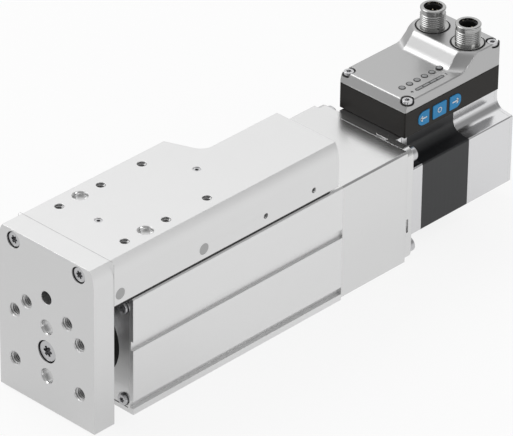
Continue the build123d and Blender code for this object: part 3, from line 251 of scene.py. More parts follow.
# %% Every finish of the slide
finishes = {
    "body": satin("body", (0.83, 0.83, 0.83), 0.38, drawn=True),
    "table": satin("table", (0.80, 0.80, 0.80), 0.38),
    "housing": satin("housing", (0.78, 0.78, 0.78), 0.24),
    "motor_silver": satin("motor_silver", (0.76, 0.76, 0.77), 0.20, drawn=True),
    "stator_black": sheets("stator_black", (0.016, 0.017, 0.019), 0.38),
    "cover_silver": satin("cover_silver", (0.49, 0.49, 0.49), 0.34, grain=0.03, edge=0.6),
    "control_dark": moulded("control_dark", (0.017, 0.015, 0.013), 0.5, shine=0.25),
    "key_blue": moulded("key_blue", (0.006, 0.26, 0.58), 0.5),
    "black_rubber": moulded("black_rubber", (0.012, 0.012, 0.012), 0.7),
    "spider_rubber": moulded("spider_rubber", (0.35, 0.04, 0.03), 0.6),
    "screw_steel": satin("screw_steel", (0.62, 0.62, 0.63), 0.28),
    "ground_steel": satin("ground_steel", (0.6, 0.6, 0.61), 0.22, drawn=True),
    "bush_bronze": satin("bush_bronze", (0.6, 0.4, 0.2), 0.35),
    "hub_aluminium": satin("hub_aluminium", (0.75, 0.75, 0.76), 0.3),
    "rotor_steel": satin("rotor_steel", (0.3, 0.3, 0.31), 0.35),
    "winding_copper": satin("winding_copper", (0.7, 0.3, 0.14), 0.3, drawn=True),
    "board_green": moulded("board_green", (0.01, 0.11, 0.04), 0.4, coat=0.4),
    "lamp_lens": moulded("lamp_lens", (0.27, 0.275, 0.28), 0.3, skin=0.02, coat=0.3),
    "connector_metal": satin("connector_metal", (0.46, 0.46, 0.455), 0.20),
    "insert_black": moulded("insert_black", (0.01, 0.01, 0.01), 0.5),
    "pin_gold": satin("pin_gold", (0.8, 0.72, 0.55), 0.2),
}
mark_white = moulded("mark_white", (0.85, 0.87, 0.88), 0.5)
# Dark for print and rings, and also for painted shade: in the seams, down the cover's corners and round the
# sunk screw heads.
dark_print_and_shade = moulded("dark_print_and_shade", (0.03, 0.03, 0.03), 0.5)
seam_grey = moulded("seam_grey", (0.32, 0.32, 0.32), 0.6)
# Darker cut metal in the tapped holes. On the side plugs it is painted shade.
cut_metal_and_bore_shade = satin("cut_metal_and_bore_shade", (0.42, 0.42, 0.42), 0.30)
bright_cut = satin("bright_cut", (0.66, 0.66, 0.66), 0.34)
turned_metal = satin("turned_metal", (0.74, 0.74, 0.74), 0.12)
print(len(finishes), "finishes for", len(frame["nodes"]), "CAD nodes")

# %% Put each finish on the CAD nodes that use it
slot_of = {part["node"]: part["material_slot"] for part in frame["record"]["subparts"]}
body_of = {node: body for body, nodes in frame["record"]["behaviour"]["bodies"].items() for node in nodes}
for node, thing in frame["nodes"].items():
    thing.material_slots[0].material = finishes[slot_of[node]]

# %% [markdown]
# ## The cover's ramp
# The drawing joins the cover's two levels with two plain arcs. The cast cover is straighter: a slope with a
# rounded foot and crest. A copy of the cover is cut across the ramp into narrow strips, and then each point
# of the ramp gets a new height. Foot, crest and outline stay where the drawing has them.

# %% Ease the ramp
COVER_LOW, COVER_HIGH = 77.8, 85.0
RISE = COVER_HIGH - COVER_LOW
RAMP_MIDDLE = (-149.0, -158.0)     # foot and crest at the middle
RAMP_SIDE = (-152.0, -165.5)       # foot and crest at the sides
STRAIGHT, OUTER = 13.5, 20.2       # where the ramp starts to lean back, and where it ends
ROUNDING = 0.34                    # share of the ramp that each rounding takes
STRIPS = 28
OFF_ARCS = 0.25                    # how far from the drawing's arcs a point may be and still be moved
OFF_LEVEL = 0.01                   # how far from the two levels a face has to be to be cut
FACES_UP = 0.1                     # least upward share of the direction that such a face looks in


def eased(share):
    """Height gained over a share of the ramp's length, both from 0 to 1."""
    if share > 0.5:
        return 1 - eased(1 - share)
    if share < ROUNDING:
        return share * share / (2 * ROUNDING * (1 - ROUNDING))
    return (share - ROUNDING / 2) / (1 - ROUNDING)


def two_arcs(share, length):
    """The same for the two arcs of the drawing, in millimetres."""
    if share > 0.5:
        return RISE - two_arcs(1 - share, length)
    radius = (length ** 2 + RISE ** 2) / (4 * RISE)
    return radius - sqrt(radius ** 2 - (share * length) ** 2)


def on_ramp(face):
    x, _, z = face.calc_center_median() / MM
    between = COVER_LOW + OFF_LEVEL < z < COVER_HIGH - OFF_LEVEL
    return between and RAMP_SIDE[1] < x < RAMP_MIDDLE[0] and face.normal.z > FACES_UP


def cut_ramp(mesh):
    """Cuts the ramp of the mesh that is in edit mode into narrow strips."""
    first, last = RAMP_MIDDLE[0], RAMP_SIDE[1]
    for index in range(1, STRIPS):
        x = first + (last - first) * index / STRIPS
        bpy.ops.mesh.select_all(action="DESELECT")
        for face in bmesh.from_edit_mesh(mesh).faces:
            if on_ramp(face):
                face.select_set(True)
        bmesh.update_edit_mesh(mesh)
        bpy.ops.mesh.bisect(plane_co=(x * MM, 0, 0), plane_no=(1, 0, 0))


def ease_ramp(mesh):
    """Gives each point of the ramp its new height."""
    points = 0
    for vert in mesh.vertices:
        x, y, z = vert.co / MM
        lean = min(max((abs(y) - STRAIGHT) / (OUTER - STRAIGHT), 0), 1)
        foot, crest = (a + lean * (b - a) for a, b in zip(RAMP_MIDDLE, RAMP_SIDE))
        share = (x - foot) / (crest - foot)
        if 0 < share < 1 and abs(z - COVER_LOW - two_arcs(share, foot - crest)) < OFF_ARCS:
            vert.co.z = (COVER_LOW + RISE * eased(share)) * MM
            points += 1
    print(points, "points of the ramp eased")


# %% [markdown]
# ## Round surfaces
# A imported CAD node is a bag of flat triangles. On flat plates that is perfect, but on the cover's ramp,
# the motor's neck and the round parts each facet would show. A copy of such a node is welded along its
# edges, its flat triangles are dissolved into whole faces, and it is shaded smooth wherever two faces meet
# at a gentle angle. Large faces then pull the shading straight, so that flat plates stay flat in the light.

# %% Smooth copies of the round nodes
WELD = 0.002           # points nearer than this become one
FLAT_ANGLE = 0.3       # degrees between triangles that become one face
SMOOTH_ANGLE = 28      # degrees between faces that are shaded as one


def nothing_chosen():
    bpy.ops.object.select_all(action="DESELECT")


def alone(piece):
    nothing_chosen()
    piece.select_set(True)
    bpy.context.view_layer.objects.active = piece


def copied(piece, name):
    twin = bpy.data.objects.new(name, piece.data.copy())
    bpy.context.scene.collection.objects.link(twin)
    return twin


def smoothed(node):
    copy = copied(frame["nodes"][node], node + "_smooth")
    alone(copy)
    bpy.ops.object.mode_set(mode="EDIT")
    bpy.ops.mesh.select_all(action="SELECT")
    bpy.ops.mesh.remove_doubles(threshold=WELD * MM)
    if node == "controller_cover":
        cut_ramp(copy.data)
        bpy.ops.object.mode_set(mode="OBJECT")
        ease_ramp(copy.data)
        bpy.ops.object.mode_set(mode="EDIT")
        bpy.ops.mesh.select_all(action="SELECT")
    bpy.ops.mesh.dissolve_limited(angle_limit=radians(FLAT_ANGLE))
    bpy.ops.object.mode_set(mode="OBJECT")
    bpy.ops.object.shade_smooth_by_angle(angle=radians(SMOOTH_ANGLE))
    weigh = copy.modifiers.new("weigh", "WEIGHTED_NORMAL")
    weigh.mode = "FACE_AREA"
    weigh.keep_sharp = True
    bpy.ops.object.modifier_apply(modifier="weigh")
    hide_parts(node)
    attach(copy, body_of[node])
    return copy


ROUND_NODES = (
    "table", "yoke_plate", "controller_cover", "controller_base", "motor_front_flange", "stator",
    "motor_rear_cap", "motor_end_plate", "adapter_plate", "push_rod", "rod_wiper", "front_cap",
    "key_advance", "key_centre", "key_retract", "connector_seals", "connector_inserts", "connector_pins",
    "side_plugs", "table_set_screws", "spindle_nut", "rod_guide_bush", "motor_tie_screws",
)
smooth = {node: smoothed(node) for node in ROUND_NODES}
# The side plugs get the darker cut metal, which paints on them the shade of a deep bore.
smooth["side_plugs"].material_slots[0].material = cut_metal_and_bore_shade
print(len(smooth), "nodes shaded smooth")

# %% [markdown]
# ## Shaping by hand, in code
# New pieces start as a plain primitive and are shaped in edit mode, as one would with the mouse: faces
# are picked, inset, pushed in or drawn out, and edges are bevelled. These helpers pick faces and edges
# by where they are.

# %% Picking, turning and placing
LATHE_STEPS = 64      # corners of a turned piece's circles
THREAD_STEPS = 48     # steps of one turn of a thread
RIDGE_HALF = 0.42     # half the width of a thread's ridge, as a share of the pitch


def pick(piece, kind, test):
    """Selects the faces, edges or verts of the piece in edit mode that pass a test."""
    bpy.ops.mesh.select_mode(type={"faces": "FACE", "edges": "EDGE", "verts": "VERT"}[kind])
    bpy.ops.mesh.select_all(action="DESELECT")
    mesh = bmesh.from_edit_mesh(piece.data)
    for part in getattr(mesh, kind):
        if test(part):
            part.select_set(True)
    mesh.select_flush_mode()
    bmesh.update_edit_mesh(piece.data)


def turned(name, *profile):
    """A piece turned on a lathe about Z, from (radius, height) points that close on themselves."""
    nothing_chosen()
    (radius, height), *rest = profile
    place = (0, 0, height * MM)
    bpy.ops.mesh.primitive_circle_add(vertices=LATHE_STEPS, radius=radius * MM, location=place)
    piece = bpy.context.object
    piece.name = name
    bpy.ops.object.transform_apply(location=True)
    bpy.ops.object.mode_set(mode="EDIT")
    bpy.ops.mesh.select_all(action="SELECT")
    for next_radius, next_height in rest:
        rise = (next_height - height) * MM
        bpy.ops.mesh.extrude_edges_move(TRANSFORM_OT_translate={"value": (0, 0, rise)})
        grow = next_radius / radius
        bpy.ops.transform.resize(value=(grow, grow, 1), center_override=(0, 0, next_height * MM))
        radius, height = next_radius, next_height
    pick(piece, "edges", lambda edge: edge.is_boundary)
    bpy.ops.mesh.bridge_edge_loops()
    bpy.ops.mesh.select_all(action="SELECT")
    bpy.ops.mesh.normals_make_consistent(inside=False)
    bpy.ops.object.mode_set(mode="OBJECT")
    return piece


def helix(name, root, crest, pitch, turns, start):
    """A screw thread as a ridge with three sides, wound about Z from its lower end."""
    nothing_chosen()
    bpy.ops.mesh.primitive_circle_add(vertices=3, radius=MM, location=(0, 0, 0))
    ridge = bpy.context.object
    ridge.name = name
    bpy.ops.object.mode_set(mode="EDIT")
    half = pitch * RIDGE_HALF
    corners = [(root, start - half), (crest, start), (root, start + half)]
    mesh = bmesh.from_edit_mesh(ridge.data)
    for corner, (radius, height) in zip(mesh.verts, corners):
        corner.co = Vector((radius, 0, height)) * MM
    bmesh.update_edit_mesh(ridge.data)
    bpy.ops.object.mode_set(mode="OBJECT")
    winding = ridge.modifiers.new("winding", "SCREW")
    winding.screw_offset = pitch * MM
    winding.iterations = turns
    winding.steps = THREAD_STEPS
    winding.render_steps = THREAD_STEPS
    winding.use_merge_vertices = False
    alone(ridge)
    bpy.ops.object.modifier_apply(modifier="winding")
    bpy.ops.object.mode_set(mode="EDIT")
    bpy.ops.mesh.select_all(action="SELECT")
    bpy.ops.mesh.fill_holes(sides=3)
    bpy.ops.mesh.select_all(action="SELECT")
    bpy.ops.mesh.normals_make_consistent(inside=False)
    bpy.ops.object.mode_set(mode="OBJECT")
    return ridge


def moved(piece, place, direction=(0, 0, 1)):
    """Puts a piece made at the origin in its place, with its Z turned to the direction."""
    alone(piece)
    piece.rotation_mode = "QUATERNION"
    piece.rotation_quaternion = Vector(direction).to_track_quat("Z", "Y")
    piece.location = Vector(place) * MM
    bpy.ops.object.transform_apply(location=True, rotation=True, scale=True)
    return piece


def spread(piece, places, direction=(0, 0, 1)):
    """The piece in several places as one mesh."""
    twins = [copied(piece, f"{piece.name}_{index}") for index in range(1, len(places))]
    for twin, place in zip([piece, *twins], places):
        moved(twin, place, direction)
    nothing_chosen()
    for twin in twins:
        twin.select_set(True)
    piece.select_set(True)
    bpy.context.view_layer.objects.active = piece
    if twins:
        bpy.ops.object.join()
    return piece


def done(piece, body, finish, angle=35):
    """Gives a finished piece its finish, its shading and the body that carries it."""
    alone(piece)
    bpy.ops.object.shade_smooth_by_angle(angle=radians(angle))
    piece.data.materials.clear()
    piece.data.materials.append(finish)
    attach(piece, body)
    return piece


# %% [markdown]
# ## Screws with a star drive
# The screws of the front plate, the front cap, the housing and the cover have a round flat head with a
# six-pointed star pressed into it. One is modelled: a cylinder whose top face is inset to the star's size,
# and that face is pushed down and pulled in at six valleys. The bottom face is inset and drawn out as the
# shank.

# %% One star screw, and the sets of them
HEAD_STEPS = 48      # corners of the head's circle
LOBES = 6
VALLEY = 0.7         # how far the valleys of the star are pulled in
BEVEL = 0.09         # share of the head's radius
DRIVE_DEPTH = 0.75   # share of the head's height


def star_screw(name, head, height, thread, length, star):
    nothing_chosen()
    top = height * MM
    middle = (0, 0, top / 2)
    bpy.ops.mesh.primitive_cylinder_add(vertices=HEAD_STEPS, radius=head * MM, depth=top, location=middle)
    screw = bpy.context.object
    screw.name = name
    bpy.ops.object.transform_apply(location=True)
    bpy.ops.object.mode_set(mode="EDIT")
    pick(screw, "edges", lambda edge: all(vert.co.z > 0.99 * top for vert in edge.verts))
    bpy.ops.mesh.bevel(offset=head * BEVEL * MM, segments=3, affect="EDGES")
    pick(screw, "faces", lambda face: len(face.verts) > 4 and face.normal.z > 0.9)
    bpy.ops.mesh.inset(thickness=(head * (1 - BEVEL) - star) * MM)
    bpy.ops.mesh.extrude_region_move(TRANSFORM_OT_translate={"value": (0, 0, -DRIVE_DEPTH * top)})

    def in_valley(vert):
        near = vert.co.xy.length < 1.02 * star * MM and vert.co.z > (0.99 - DRIVE_DEPTH) * top
        return near and cos(LOBES * atan2(vert.co.y, vert.co.x)) < -0.2

    pick(screw, "verts", in_valley)
    bpy.ops.transform.resize(value=(VALLEY, VALLEY, 1), center_override=(0, 0, top))
    pick(screw, "faces", lambda face: len(face.verts) > 4 and face.normal.z < -0.9)
    bpy.ops.mesh.inset(thickness=(head - thread) * MM)
    bpy.ops.mesh.extrude_region_move(TRANSFORM_OT_translate={"value": (0, 0, -length * MM)})
    bpy.ops.object.mode_set(mode="OBJECT")
    return screw


SCREW_SETS = {
    # node: (head radius, head height, thread radius, length, star radius, seats, way the head faces)
    "yoke_cap_screws": (3.5, 4.0, 2.0, 18.9, 1.9, [(84.4, -20, 78), (84.4, 20, 78)], (1, 0, 0)),
    "yoke_centre_screw": (5.0, 6.0, 3.0, 17.9, 2.6, [(82.4, 0, 30)], (1, 0, 0)),
    "front_cap_screws": (2.75, 2.4, 1.5, 8.9, 1.35,
                         [(64.4, y, z) for y in (-23.4, 23.4) for z in (5.8, 52.9)], (1, 0, 0)),
    "housing_screws": (3.6, 4.0, 2.0, 55.9, 1.75,
                       [(-111.5, y, z) for y in (-24.8, 24.8) for z in (6, 54)], (-1, 0, 0)),
}
for node, (head, height, thread, length, star, seats, facing) in SCREW_SETS.items():
    screw = star_screw(node + "_star", head, height, thread, length, star)
    spread(screw, seats, facing)
    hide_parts(node)
    done(screw, body_of[node], finishes["screw_steel"])
    print(node, len(screw.data.polygons), "faces")

# %% Cover screws: the front pair start lower than the rear pair
COVER_SCREW_ROWS = {"low": (-118.6, 75.6), "high": (-175.3, 82.8)}
COVER_SCREW_Y = 18
COVER_SCREW_END = 66.4      # height of the lower ends
for row, (x, seat) in COVER_SCREW_ROWS.items():
    seats = [(x, side * COVER_SCREW_Y, seat) for side in (-1, 1)]
    # A black ring on each seat paints the shade in the recess round the head.
    painted_shade = turned(f"cover_screw_seals_{row}", (2.45, 0.02), (3.1, 0.02), (3.1, 0.3), (2.45, 0.3))
    spread(painted_shade, seats)
    done(painted_shade, "frame", finishes["black_rubber"])
    screw = star_screw(f"cover_screws_{row}", 2.4, 1.9, 1.25, seat - COVER_SCREW_END, 1.25)
    spread(screw, seats)
    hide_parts("controller_cover_screws")
    done(screw, body_of["controller_cover_screws"], finishes["screw_steel"])

# %% [markdown]
# ## Threads
# The holes in the front plate, in the table and in the body's bottom are tapped. A tapped wall isn't
# smooth: its ridges break the light into fine rings. One ridge is wound by the Screw modifier and copied
# into each hole. The controller's plugs carry a thread too, on the outside.

# %% Tapped holes
def tapped(name, places, facing, hole, pitch, turns, body, finish=cut_metal_and_bore_shade):
    """A thread in each of the places, whose walls have the radius that hole gives."""
    ridge = helix(name, hole + 0.02, hole - 0.6 * pitch, pitch, turns, -pitch * (turns + 1.0))
    spread(ridge, places, facing)
    done(ridge, body, finish, angle=20)
    print(name, len(ridge.data.polygons), "faces")


yoke_holes = [(89, side * 20, 30 + rise) for side in (-1, 1) for rise in (-12.5, 12.5)]
yoke_holes += [(89, side * 12.5, 50) for side in (-1, 1)]
tapped("yoke_threads", yoke_holes, (1, 0, 0), 3.0, 1.0, 9, "slide", bright_cut)
table_holes = [(x, side * 20, 83) for side in (-1, 1) for x in (61.5, 36.5, 11.5)]
tapped("table_threads", table_holes, (0, 0, 1), 2.0, 0.7, 11, "slide")
base_holes = [(x, side * 20, 0) for side in (-1, 1) for x in (-50, 50)]
side_holes = [(-31.1 + along, 29.25, 65.9) for along in (-15.2, 15.2)]
tapped("side_threads", side_holes, (0, 1, 0), 1.3, 0.5, 8, "slide")
tapped("base_threads", base_holes, (0, 0, -1), 2.5, 0.8, 9, "frame")

# %% Turned walls of the centring bores
CENTRING = (
    ("yoke", [(89, 0, 42.5), (89, 0, 17.5)], (1, 0, 0), "slide", "table"),
    ("table", [(49, -20, 83), (49, 20, 83)], (0, 0, 1), "slide", "table"),
    ("base", [(-50, 0, 0), (50, 0, 0)], (0, 0, -1), "frame", "body"),
)
CENTRING_WALL = ((3.49, -1.75), (3.49, -0.12), (3.45, -0.12), (3.43, -0.16), (3.43, -1.75))
for where, places, facing, body, slot in CENTRING:
    wall = turned(f"centring_wall_{where}", *CENTRING_WALL)
    spread(wall, places, facing)
    done(wall, body, turned_metal)

# %% Shade in the gaps round the sunk screw heads
SUNK_HEADS = (
    # name, radius and depth of the hole, places
    ("cap", 4.0, 4.6, [(89, -20, 78), (89, 20, 78)]),
    ("centre", 5.5, 6.6, [(89, 0, 30)]),
)
for where, hole, depth, places in SUNK_HEADS:
    outer, inner, low, high = hole - 0.02, hole - 0.08, 0.1 - depth, -0.55
    shade = turned(f"head_shade_{where}", (outer, low), (outer, high), (inner, high), (inner, low))
    spread(shade, places, (1, 0, 0))
    done(shade, "slide", dark_print_and_shade)

# %% Plug shells
PLUGS = [(-166.5, -10.8, 0), (-166.5, 10.8, 0)]
SHELL = (
    (4.4, 80.0), (4.4, 95.1), (5.7, 95.1), (6.0, 94.8), (6.0, 94.3), (5.7, 94.0), (5.7, 92.9), (5.5, 92.7),
    (5.5, 85.4), (7.4, 85.3), (7.4, 84.5), (6.0, 84.5), (6.0, 80.0),
)
shells = turned("plug_shells", *SHELL)
spread(shells, PLUGS)
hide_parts("connector_shells")
done(shells, "frame", finishes["connector_metal"])
ridges = helix("plug_threads", 5.46, 5.97, 1.0, 6, 86.1)
spread(ridges, PLUGS)
done(ridges, "frame", finishes["connector_metal"], angle=20)

# %% [markdown]
# ## Lamps, level bar and marks
# Six small lamps and a level bar sit flush in the cover. Each lamp is a shallow glassy dome in a thin
# dark ring. The bar is divided into four fields. Two small signs beside it say which way is more.

# %% Lamp domes and their rings
LAMP_X, LAMP_STEP, LAMP_Y = -124.3, 4.96, 9.5
LAMPS = [(LAMP_X - index * LAMP_STEP, LAMP_Y, 0) for index in range(5)]
LAMPS.append((-149.1, LAMP_Y, 0.35))     # the last one stands on the ramp's foot
DOME = ((0.05, 75.8), (1.5, 75.8), (1.5, 77.80), (1.3, 77.92), (0.9, 78.02), (0.45, 78.07), (0.05, 78.08))
dome = turned("lamp_domes", *DOME)
spread(dome, LAMPS)
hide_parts("indicator_lenses")
done(dome, "frame", finishes["lamp_lens"])
ring = turned("lamp_rings", (1.26, 77.5), (1.26, 77.98), (1.45, 78.0), (1.70, 77.88), (1.70, 77.5))
spread(ring, LAMPS)
done(ring, "frame", dark_print_and_shade)

# %% Small flat marks
FILM = 0.06      # thickness of a printed mark


def bar(name, length, width, thickness=FILM):
    """A flat bar with rounded corners, lying along X with its underside at zero."""
    nothing_chosen()
    bpy.ops.mesh.primitive_cube_add(size=1, location=(0, 0, 0))
    piece = bpy.context.object
    piece.name = name
    bpy.ops.object.mode_set(mode="EDIT")
    bpy.ops.mesh.select_all(action="SELECT")
    bpy.ops.transform.resize(value=(length * MM, width * MM, thickness * MM), center_override=(0, 0, 0))
    bpy.ops.transform.translate(value=(0, 0, thickness * MM / 2))
    pick(piece, "edges", lambda edge: abs(edge.verts[0].co.z - edge.verts[1].co.z) > 0.5 * thickness * MM)
    bpy.ops.mesh.bevel(offset=0.3 * width * MM, segments=3, affect="EDGES")
    bpy.ops.object.mode_set(mode="OBJECT")
    return piece


def line(name, start, end, width, facing, thickness=FILM):
    """A flat line from start to end, lying on a face that faces the given way."""
    start, end = Vector(start), Vector(end)
    run = (end - start).normalized()
    across = Vector(facing).cross(run).normalized()
    piece = bar(name, (end - start).length, width, thickness)
    piece.matrix_world = Matrix((run, across, run.cross(across))).transposed().to_4x4()
    piece.location = (start + end) / 2 * MM
    alone(piece)
    bpy.ops.object.transform_apply(location=True, rotation=True, scale=True)
    return piece


def joined(name, *parts):
    nothing_chosen()
    for part in parts:
        part.select_set(True)
    bpy.context.view_layer.objects.active = parts[0]
    bpy.ops.object.join()
    parts[0].name = name
    return parts[0]


# %% Level bar: four fields, an outline and dividers
UP = (0, 0, 1)
OUT = (0, 1, 0)
BAR_FRONT, BAR_REAR = -127.2, -145.6
BAR_MIDDLE = 15.3
BAR_EDGE = 0.85            # from the bar's middle line to its outline
FIELDS = 4
FIELD_GAP = 0.4            # between a field's end and the divider
FIELD_WIDTH, DIVIDER_WIDTH, OUTLINE_WIDTH = 1.0, 0.4, 0.32
field_step = (BAR_REAR - BAR_FRONT) / FIELDS


def level_line(name, start, end, width):
    """A line on the cover's low level between two points, each given as (x, y)."""
    return line(name, (*start, COVER_LOW), (*end, COVER_LOW), width, UP)


fields = []
dividers = []
for index in range(FIELDS):
    near = BAR_FRONT + field_step * index
    start, end = (near - FIELD_GAP, BAR_MIDDLE), (near + field_step + FIELD_GAP, BAR_MIDDLE)
    fields.append(level_line(f"level_field_{index}", start, end, FIELD_WIDTH))
    if index:
        start, end = (near, BAR_MIDDLE - 0.7), (near, BAR_MIDDLE + 0.7)
        dividers.append(level_line(f"divider_{index}", start, end, DIVIDER_WIDTH))
done(joined("level_fields", *fields), "frame", finishes["lamp_lens"])
for side in (-1, 1):
    edge = BAR_MIDDLE + side * BAR_EDGE
    start, end = (BAR_FRONT - 0.5, edge), (BAR_REAR + 0.5, edge)
    dividers.append(level_line(f"outline_{side}", start, end, OUTLINE_WIDTH))
for name, x, inward in (("front", BAR_FRONT, -1), ("rear", BAR_REAR, 1)):
    for side in (-1, 1):
        start, end = (x + inward * 0.6, BAR_MIDDLE + side * BAR_EDGE), (x, BAR_MIDDLE + side * 0.3)
        dividers.append(level_line(f"outline_{name}{side}", start, end, OUTLINE_WIDTH))
    start, end = (x, BAR_MIDDLE - 0.4), (x, BAR_MIDDLE + 0.4)
    dividers.append(level_line(f"outline_{name}", start, end, OUTLINE_WIDTH))
done(joined("level_outline", *dividers), "frame", dark_print_and_shade)

# %% Signs for more and less beside the bar
MORE_X, LESS_X, SIGN_Y = -124.9, -147.6, 15.1
SIGN_HALF = 0.75
MORE_WIDTH, LESS_WIDTH = 0.42, 0.4
plus = joined(
    "mark_more",
    level_line("more_along", (MORE_X - SIGN_HALF, SIGN_Y), (MORE_X + SIGN_HALF, SIGN_Y), MORE_WIDTH),
    level_line("more_across", (MORE_X, SIGN_Y - SIGN_HALF), (MORE_X, SIGN_Y + SIGN_HALF), MORE_WIDTH),
)
done(plus, "frame", dark_print_and_shade)
minus = level_line("mark_less", (LESS_X, SIGN_Y - SIGN_HALF), (LESS_X, SIGN_Y + SIGN_HALF), LESS_WIDTH)
done(minus, "frame", dark_print_and_shade)

# %% [markdown]
# ## Seams
# Where the front plate meets the table, under the front cap and down the front corners of the cover, a
# hair-thin dark line shows. It is a shadow in a gap that a drawing closes, so here it is a thin strip laid
# along each joint. The narrow gap under the table is black from end to end, so a black strip fills it as
# painted shade. Both strips have the near side's length, and the far one runs on past the step in the
# table.

# %% Seams, and the strips of painted shade under the table
STRIP = 0.02                # thickness of the strips that stand for a shadow
JOINT_X, TABLE_TOP, TABLE_LOW, TABLE_SIDE = 77, 83, 61, 29.25
JOINT_HALF = 28.4
left, right = ((JOINT_X, side * JOINT_HALF, TABLE_TOP) for side in (-1, 1))
joint = [line("joint_top", left, right, 0.16, UP, STRIP)]
for side in (-1, 1):
    top, low = (JOINT_X, side * TABLE_SIDE, TABLE_TOP - 0.9), (JOINT_X, side * TABLE_SIDE, TABLE_LOW)
    joint.append(line(f"joint_side{side}", top, low, 0.14, (0, side, 0), STRIP))
done(joined("plate_joint", *joint), "slide", seam_grey)

# Black strips that paint the shade in the gap under the table, one on each side.
GAP_SHADE_REAR, GAP_SHADE_FRONT, GAP_SHADE_Y, GAP_SHADE_Z = -57, 76, 28.6, 60.28
GAP_SHADE_WIDTH, GAP_SHADE_DEPTH = 1.4, 0.3
gap_shades = []
for side in (-1, 1):
    rear, front = (GAP_SHADE_REAR, side * GAP_SHADE_Y, GAP_SHADE_Z), (GAP_SHADE_FRONT, side * GAP_SHADE_Y, GAP_SHADE_Z)
    gap_shades.append(line(f"seal_{side}", rear, front, GAP_SHADE_WIDTH, (0, side, 0), GAP_SHADE_DEPTH))
done(joined("table_gap_shade", *gap_shades), "slide", finishes["black_rubber"])

CAP_X, CAP_HALF, CAP_LOW = 65.5, 26, 2.45
cap_seam = line("cap_seam", (CAP_X, -CAP_HALF, CAP_LOW), (CAP_X, CAP_HALF, CAP_LOW), 0.4, (1, 0, 0), STRIP)
done(cap_seam, "frame", dark_print_and_shade)

CORNER_Y = 20.02
corners = []
for side in (-1, 1):
    low, top = (-115.28, side * CORNER_Y, 72.6), (-116.7, side * CORNER_Y, 77.3)
    corners.append(line(f"corner_{side}", low, top, 0.22, (0.954, side, 0.3), 0.04))
done(joined("cover_corners", *corners), "frame", dark_print_and_shade)

# %% Collar that closes the gap beside the motor's neck, in front of the controller
COLLAR_X, COLLAR_HALF, COLLAR_WIDTH = -114.1, 18.0, 5.0
COLLAR_LOW, COLLAR_TOP = 54.0, 59.12
left, right = ((COLLAR_X, side * COLLAR_HALF, COLLAR_LOW) for side in (-1, 1))
collar = line("neck_collar", left, right, COLLAR_WIDTH, UP, COLLAR_TOP - COLLAR_LOW)
done(collar, "frame", finishes["motor_silver"])

# %% [markdown]
# ## Keys
# The outer keys carry an arrow each, for the two ways the table moves, and the middle one a plain ring.
# The marks are printed, so they are only a film on the key and ride on it.

# %% Arrows and ring on the keys
KEY_FACE = 20.46
KEY_Z = 65.2
ARROW_REACH = 2.1      # from the key's middle to the tip
ARROW_BARB = 1.3
ARROW_STROKE = 0.68


def arrow(name, x, way):
    """An arrow on a key's face that points along X, forward for way 1."""
    tip = (x + way * ARROW_REACH, KEY_FACE, KEY_Z)
    strokes = [line(name + "_shaft", (x - way * ARROW_REACH, KEY_FACE, KEY_Z), tip, ARROW_STROKE, OUT)]
    for side in (-1, 1):
        end = (x + way * (ARROW_REACH - ARROW_BARB), KEY_FACE, KEY_Z + side * ARROW_BARB)
        strokes.append(line(f"{name}_barb{side}", end, tip, ARROW_STROKE, OUT))
    return joined(name, *strokes)


done(arrow("arrow_advance", -127.4, 1), "advance_key", mark_white)
done(arrow("arrow_retract", -148.6, -1), "retract_key", mark_white)
hoop = turned("key_ring", (0.95, 0), (1.4, 0), (1.4, FILM), (0.95, FILM))
done(moved(hoop, (-138.05, KEY_FACE, KEY_Z), OUT), "centre_key", mark_white)

# %% [markdown]
# ## Floor, light and backdrop
# The slide stands on a pale floor in soft light. Only in reflections the floor glows brighter on the key
# side, and so paints the front plate darker than the side. Metal shows what surrounds it, so the sky is
# bright above and duller at the horizon. It has two darker patches: one that the long upper edges mirror
# as thin lines, and one that tones the front plate. Two big soft lamps light the cover's ramp and the key
# side.

# %% Floor
FLOOR_SIZE, FLOOR_Z = 12, -0.0003         # in metres, a hair below the slide
GLOW_SEEN, GLOW_MIRRORED = 0.86, 0.75     # share of its own glow that the camera and reflections get
# Painted light: the glow seen in reflections is brighter on the key side, so the front plate mirrors a
# darker floor.
GLOW_FAR, GLOW_NEAR = 0.72, 0.93          # the glow that reflections get on the slide's two sides
TO_KEYS = (-0.6, 1, 0)                    # the way in which that glow grows
FADE = 0.06                               # how soon it grows
nothing_chosen()
bpy.ops.mesh.primitive_plane_add(size=FLOOR_SIZE, location=(0, 0, FLOOR_Z))
floor = bpy.context.object
floor.name = "floor"
paper = finish_named("floor_paper")
dust = paper.noise(90)
matt = paper.add("ShaderNodeBsdfPrincipled", inputs={
    "Base Color": paper.tint((0.86, 0.86, 0.86), (0.88, 0.88, 0.88), dust), "Roughness": 0.9,
})
seen = paper.add("ShaderNodeLightPath", output="Is Camera Ray")
mirrored = paper.add("ShaderNodeLightPath", output="Is Glossy Ray")
across = paper.add("ShaderNodeVectorMath", {"operation": "DOT_PRODUCT"}, {0: paper.place(), 1: TO_KEYS},
                   output="Value")
tone = paper.add("ShaderNodeMapRange", inputs={
    "Value": across, "From Min": -FADE, "From Max": FADE, "To Min": GLOW_FAR, "To Max": GLOW_NEAR,
})
glow = paper.add("ShaderNodeEmission", inputs={"Color": (1, 1, 1, 1), "Strength": seen + mirrored * tone})
share = seen * GLOW_SEEN + mirrored * GLOW_MIRRORED
surface = paper.add("ShaderNodeMixShader", inputs={0: share, 1: matt, 2: glow})
floor.data.materials.append(paper.close(surface))

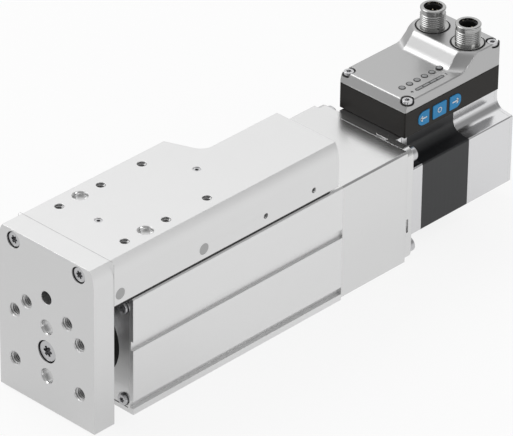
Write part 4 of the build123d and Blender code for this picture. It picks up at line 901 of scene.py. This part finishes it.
# %% Lamps and sky
def soft_lamp(name, way, distance, size, power):
    """A wide lamp that faces the slide from the given way; size is its width along X and its height."""
    spot = Vector(way).normalized()
    bpy.ops.object.light_add(type="AREA", location=AIM + spot * distance)
    lamp = bpy.context.object
    lamp.name = name
    lamp.rotation_mode = "QUATERNION"
    lamp.rotation_quaternion = spot.to_track_quat("Z", "Y")
    lamp.data.shape = "RECTANGLE"
    lamp.data.size, lamp.data.size_y = size
    lamp.data.energy = power
    return lamp


soft_lamp("lamp_overhead", (0.18, -0.60, 0.77), 1.7, (1.5, 0.9), 8.5)
soft_lamp("lamp_side", (-0.15, 0.9, 0.42), 1.6, (0.8, 0.6), 3.0)

world = bpy.data.worlds.new("studio")
bpy.context.scene.world = world
sky = Net(world)
way = sky.add("ShaderNodeTexCoord", output="Generated")


def patch(direction, *stops):
    """A soft round patch of the sky: grey values over the cosine of the angle to a direction."""
    nearness = sky.add("ShaderNodeVectorMath", {"operation": "DOT_PRODUCT"}, {0: way, 1: direction},
                       output="Value")
    grey = [(place, (value, value, value, 1)) for place, value in stops]
    return sky.add("ShaderNodeValToRGB", {"stops": grey}, {0: nearness})


sky_tone = patch(UP, (0.0, 0.60), (0.5, 1.0))
edge_shade = patch((-0.61, 0.53, 0.59), (0.84, 1.0), (0.96, 0.30))
front_shade = patch((0.75, 0.60, 0.28), (0.05, 1.0), (0.8, 0.42))
for shade in (edge_shade, front_shade):
    sky_tone = sky.add("ShaderNodeMix", {"data_type": "RGBA", "blend_type": "MULTIPLY"},
                       {"Factor": 1.0, MIX_FIRST: sky_tone, MIX_SECOND: shade}, output=MIX_RESULT)
lit = sky.add("ShaderNodeBackground", inputs={"Color": sky_tone})
white = sky.add("ShaderNodeBackground", inputs={"Color": (1, 1, 1, 1)})
seen = sky.add("ShaderNodeLightPath", output="Is Camera Ray")
mixed = sky.add("ShaderNodeMixShader", inputs={0: seen, 1: lit, 2: white})
sky.add("ShaderNodeOutputWorld", inputs={"Surface": mixed})
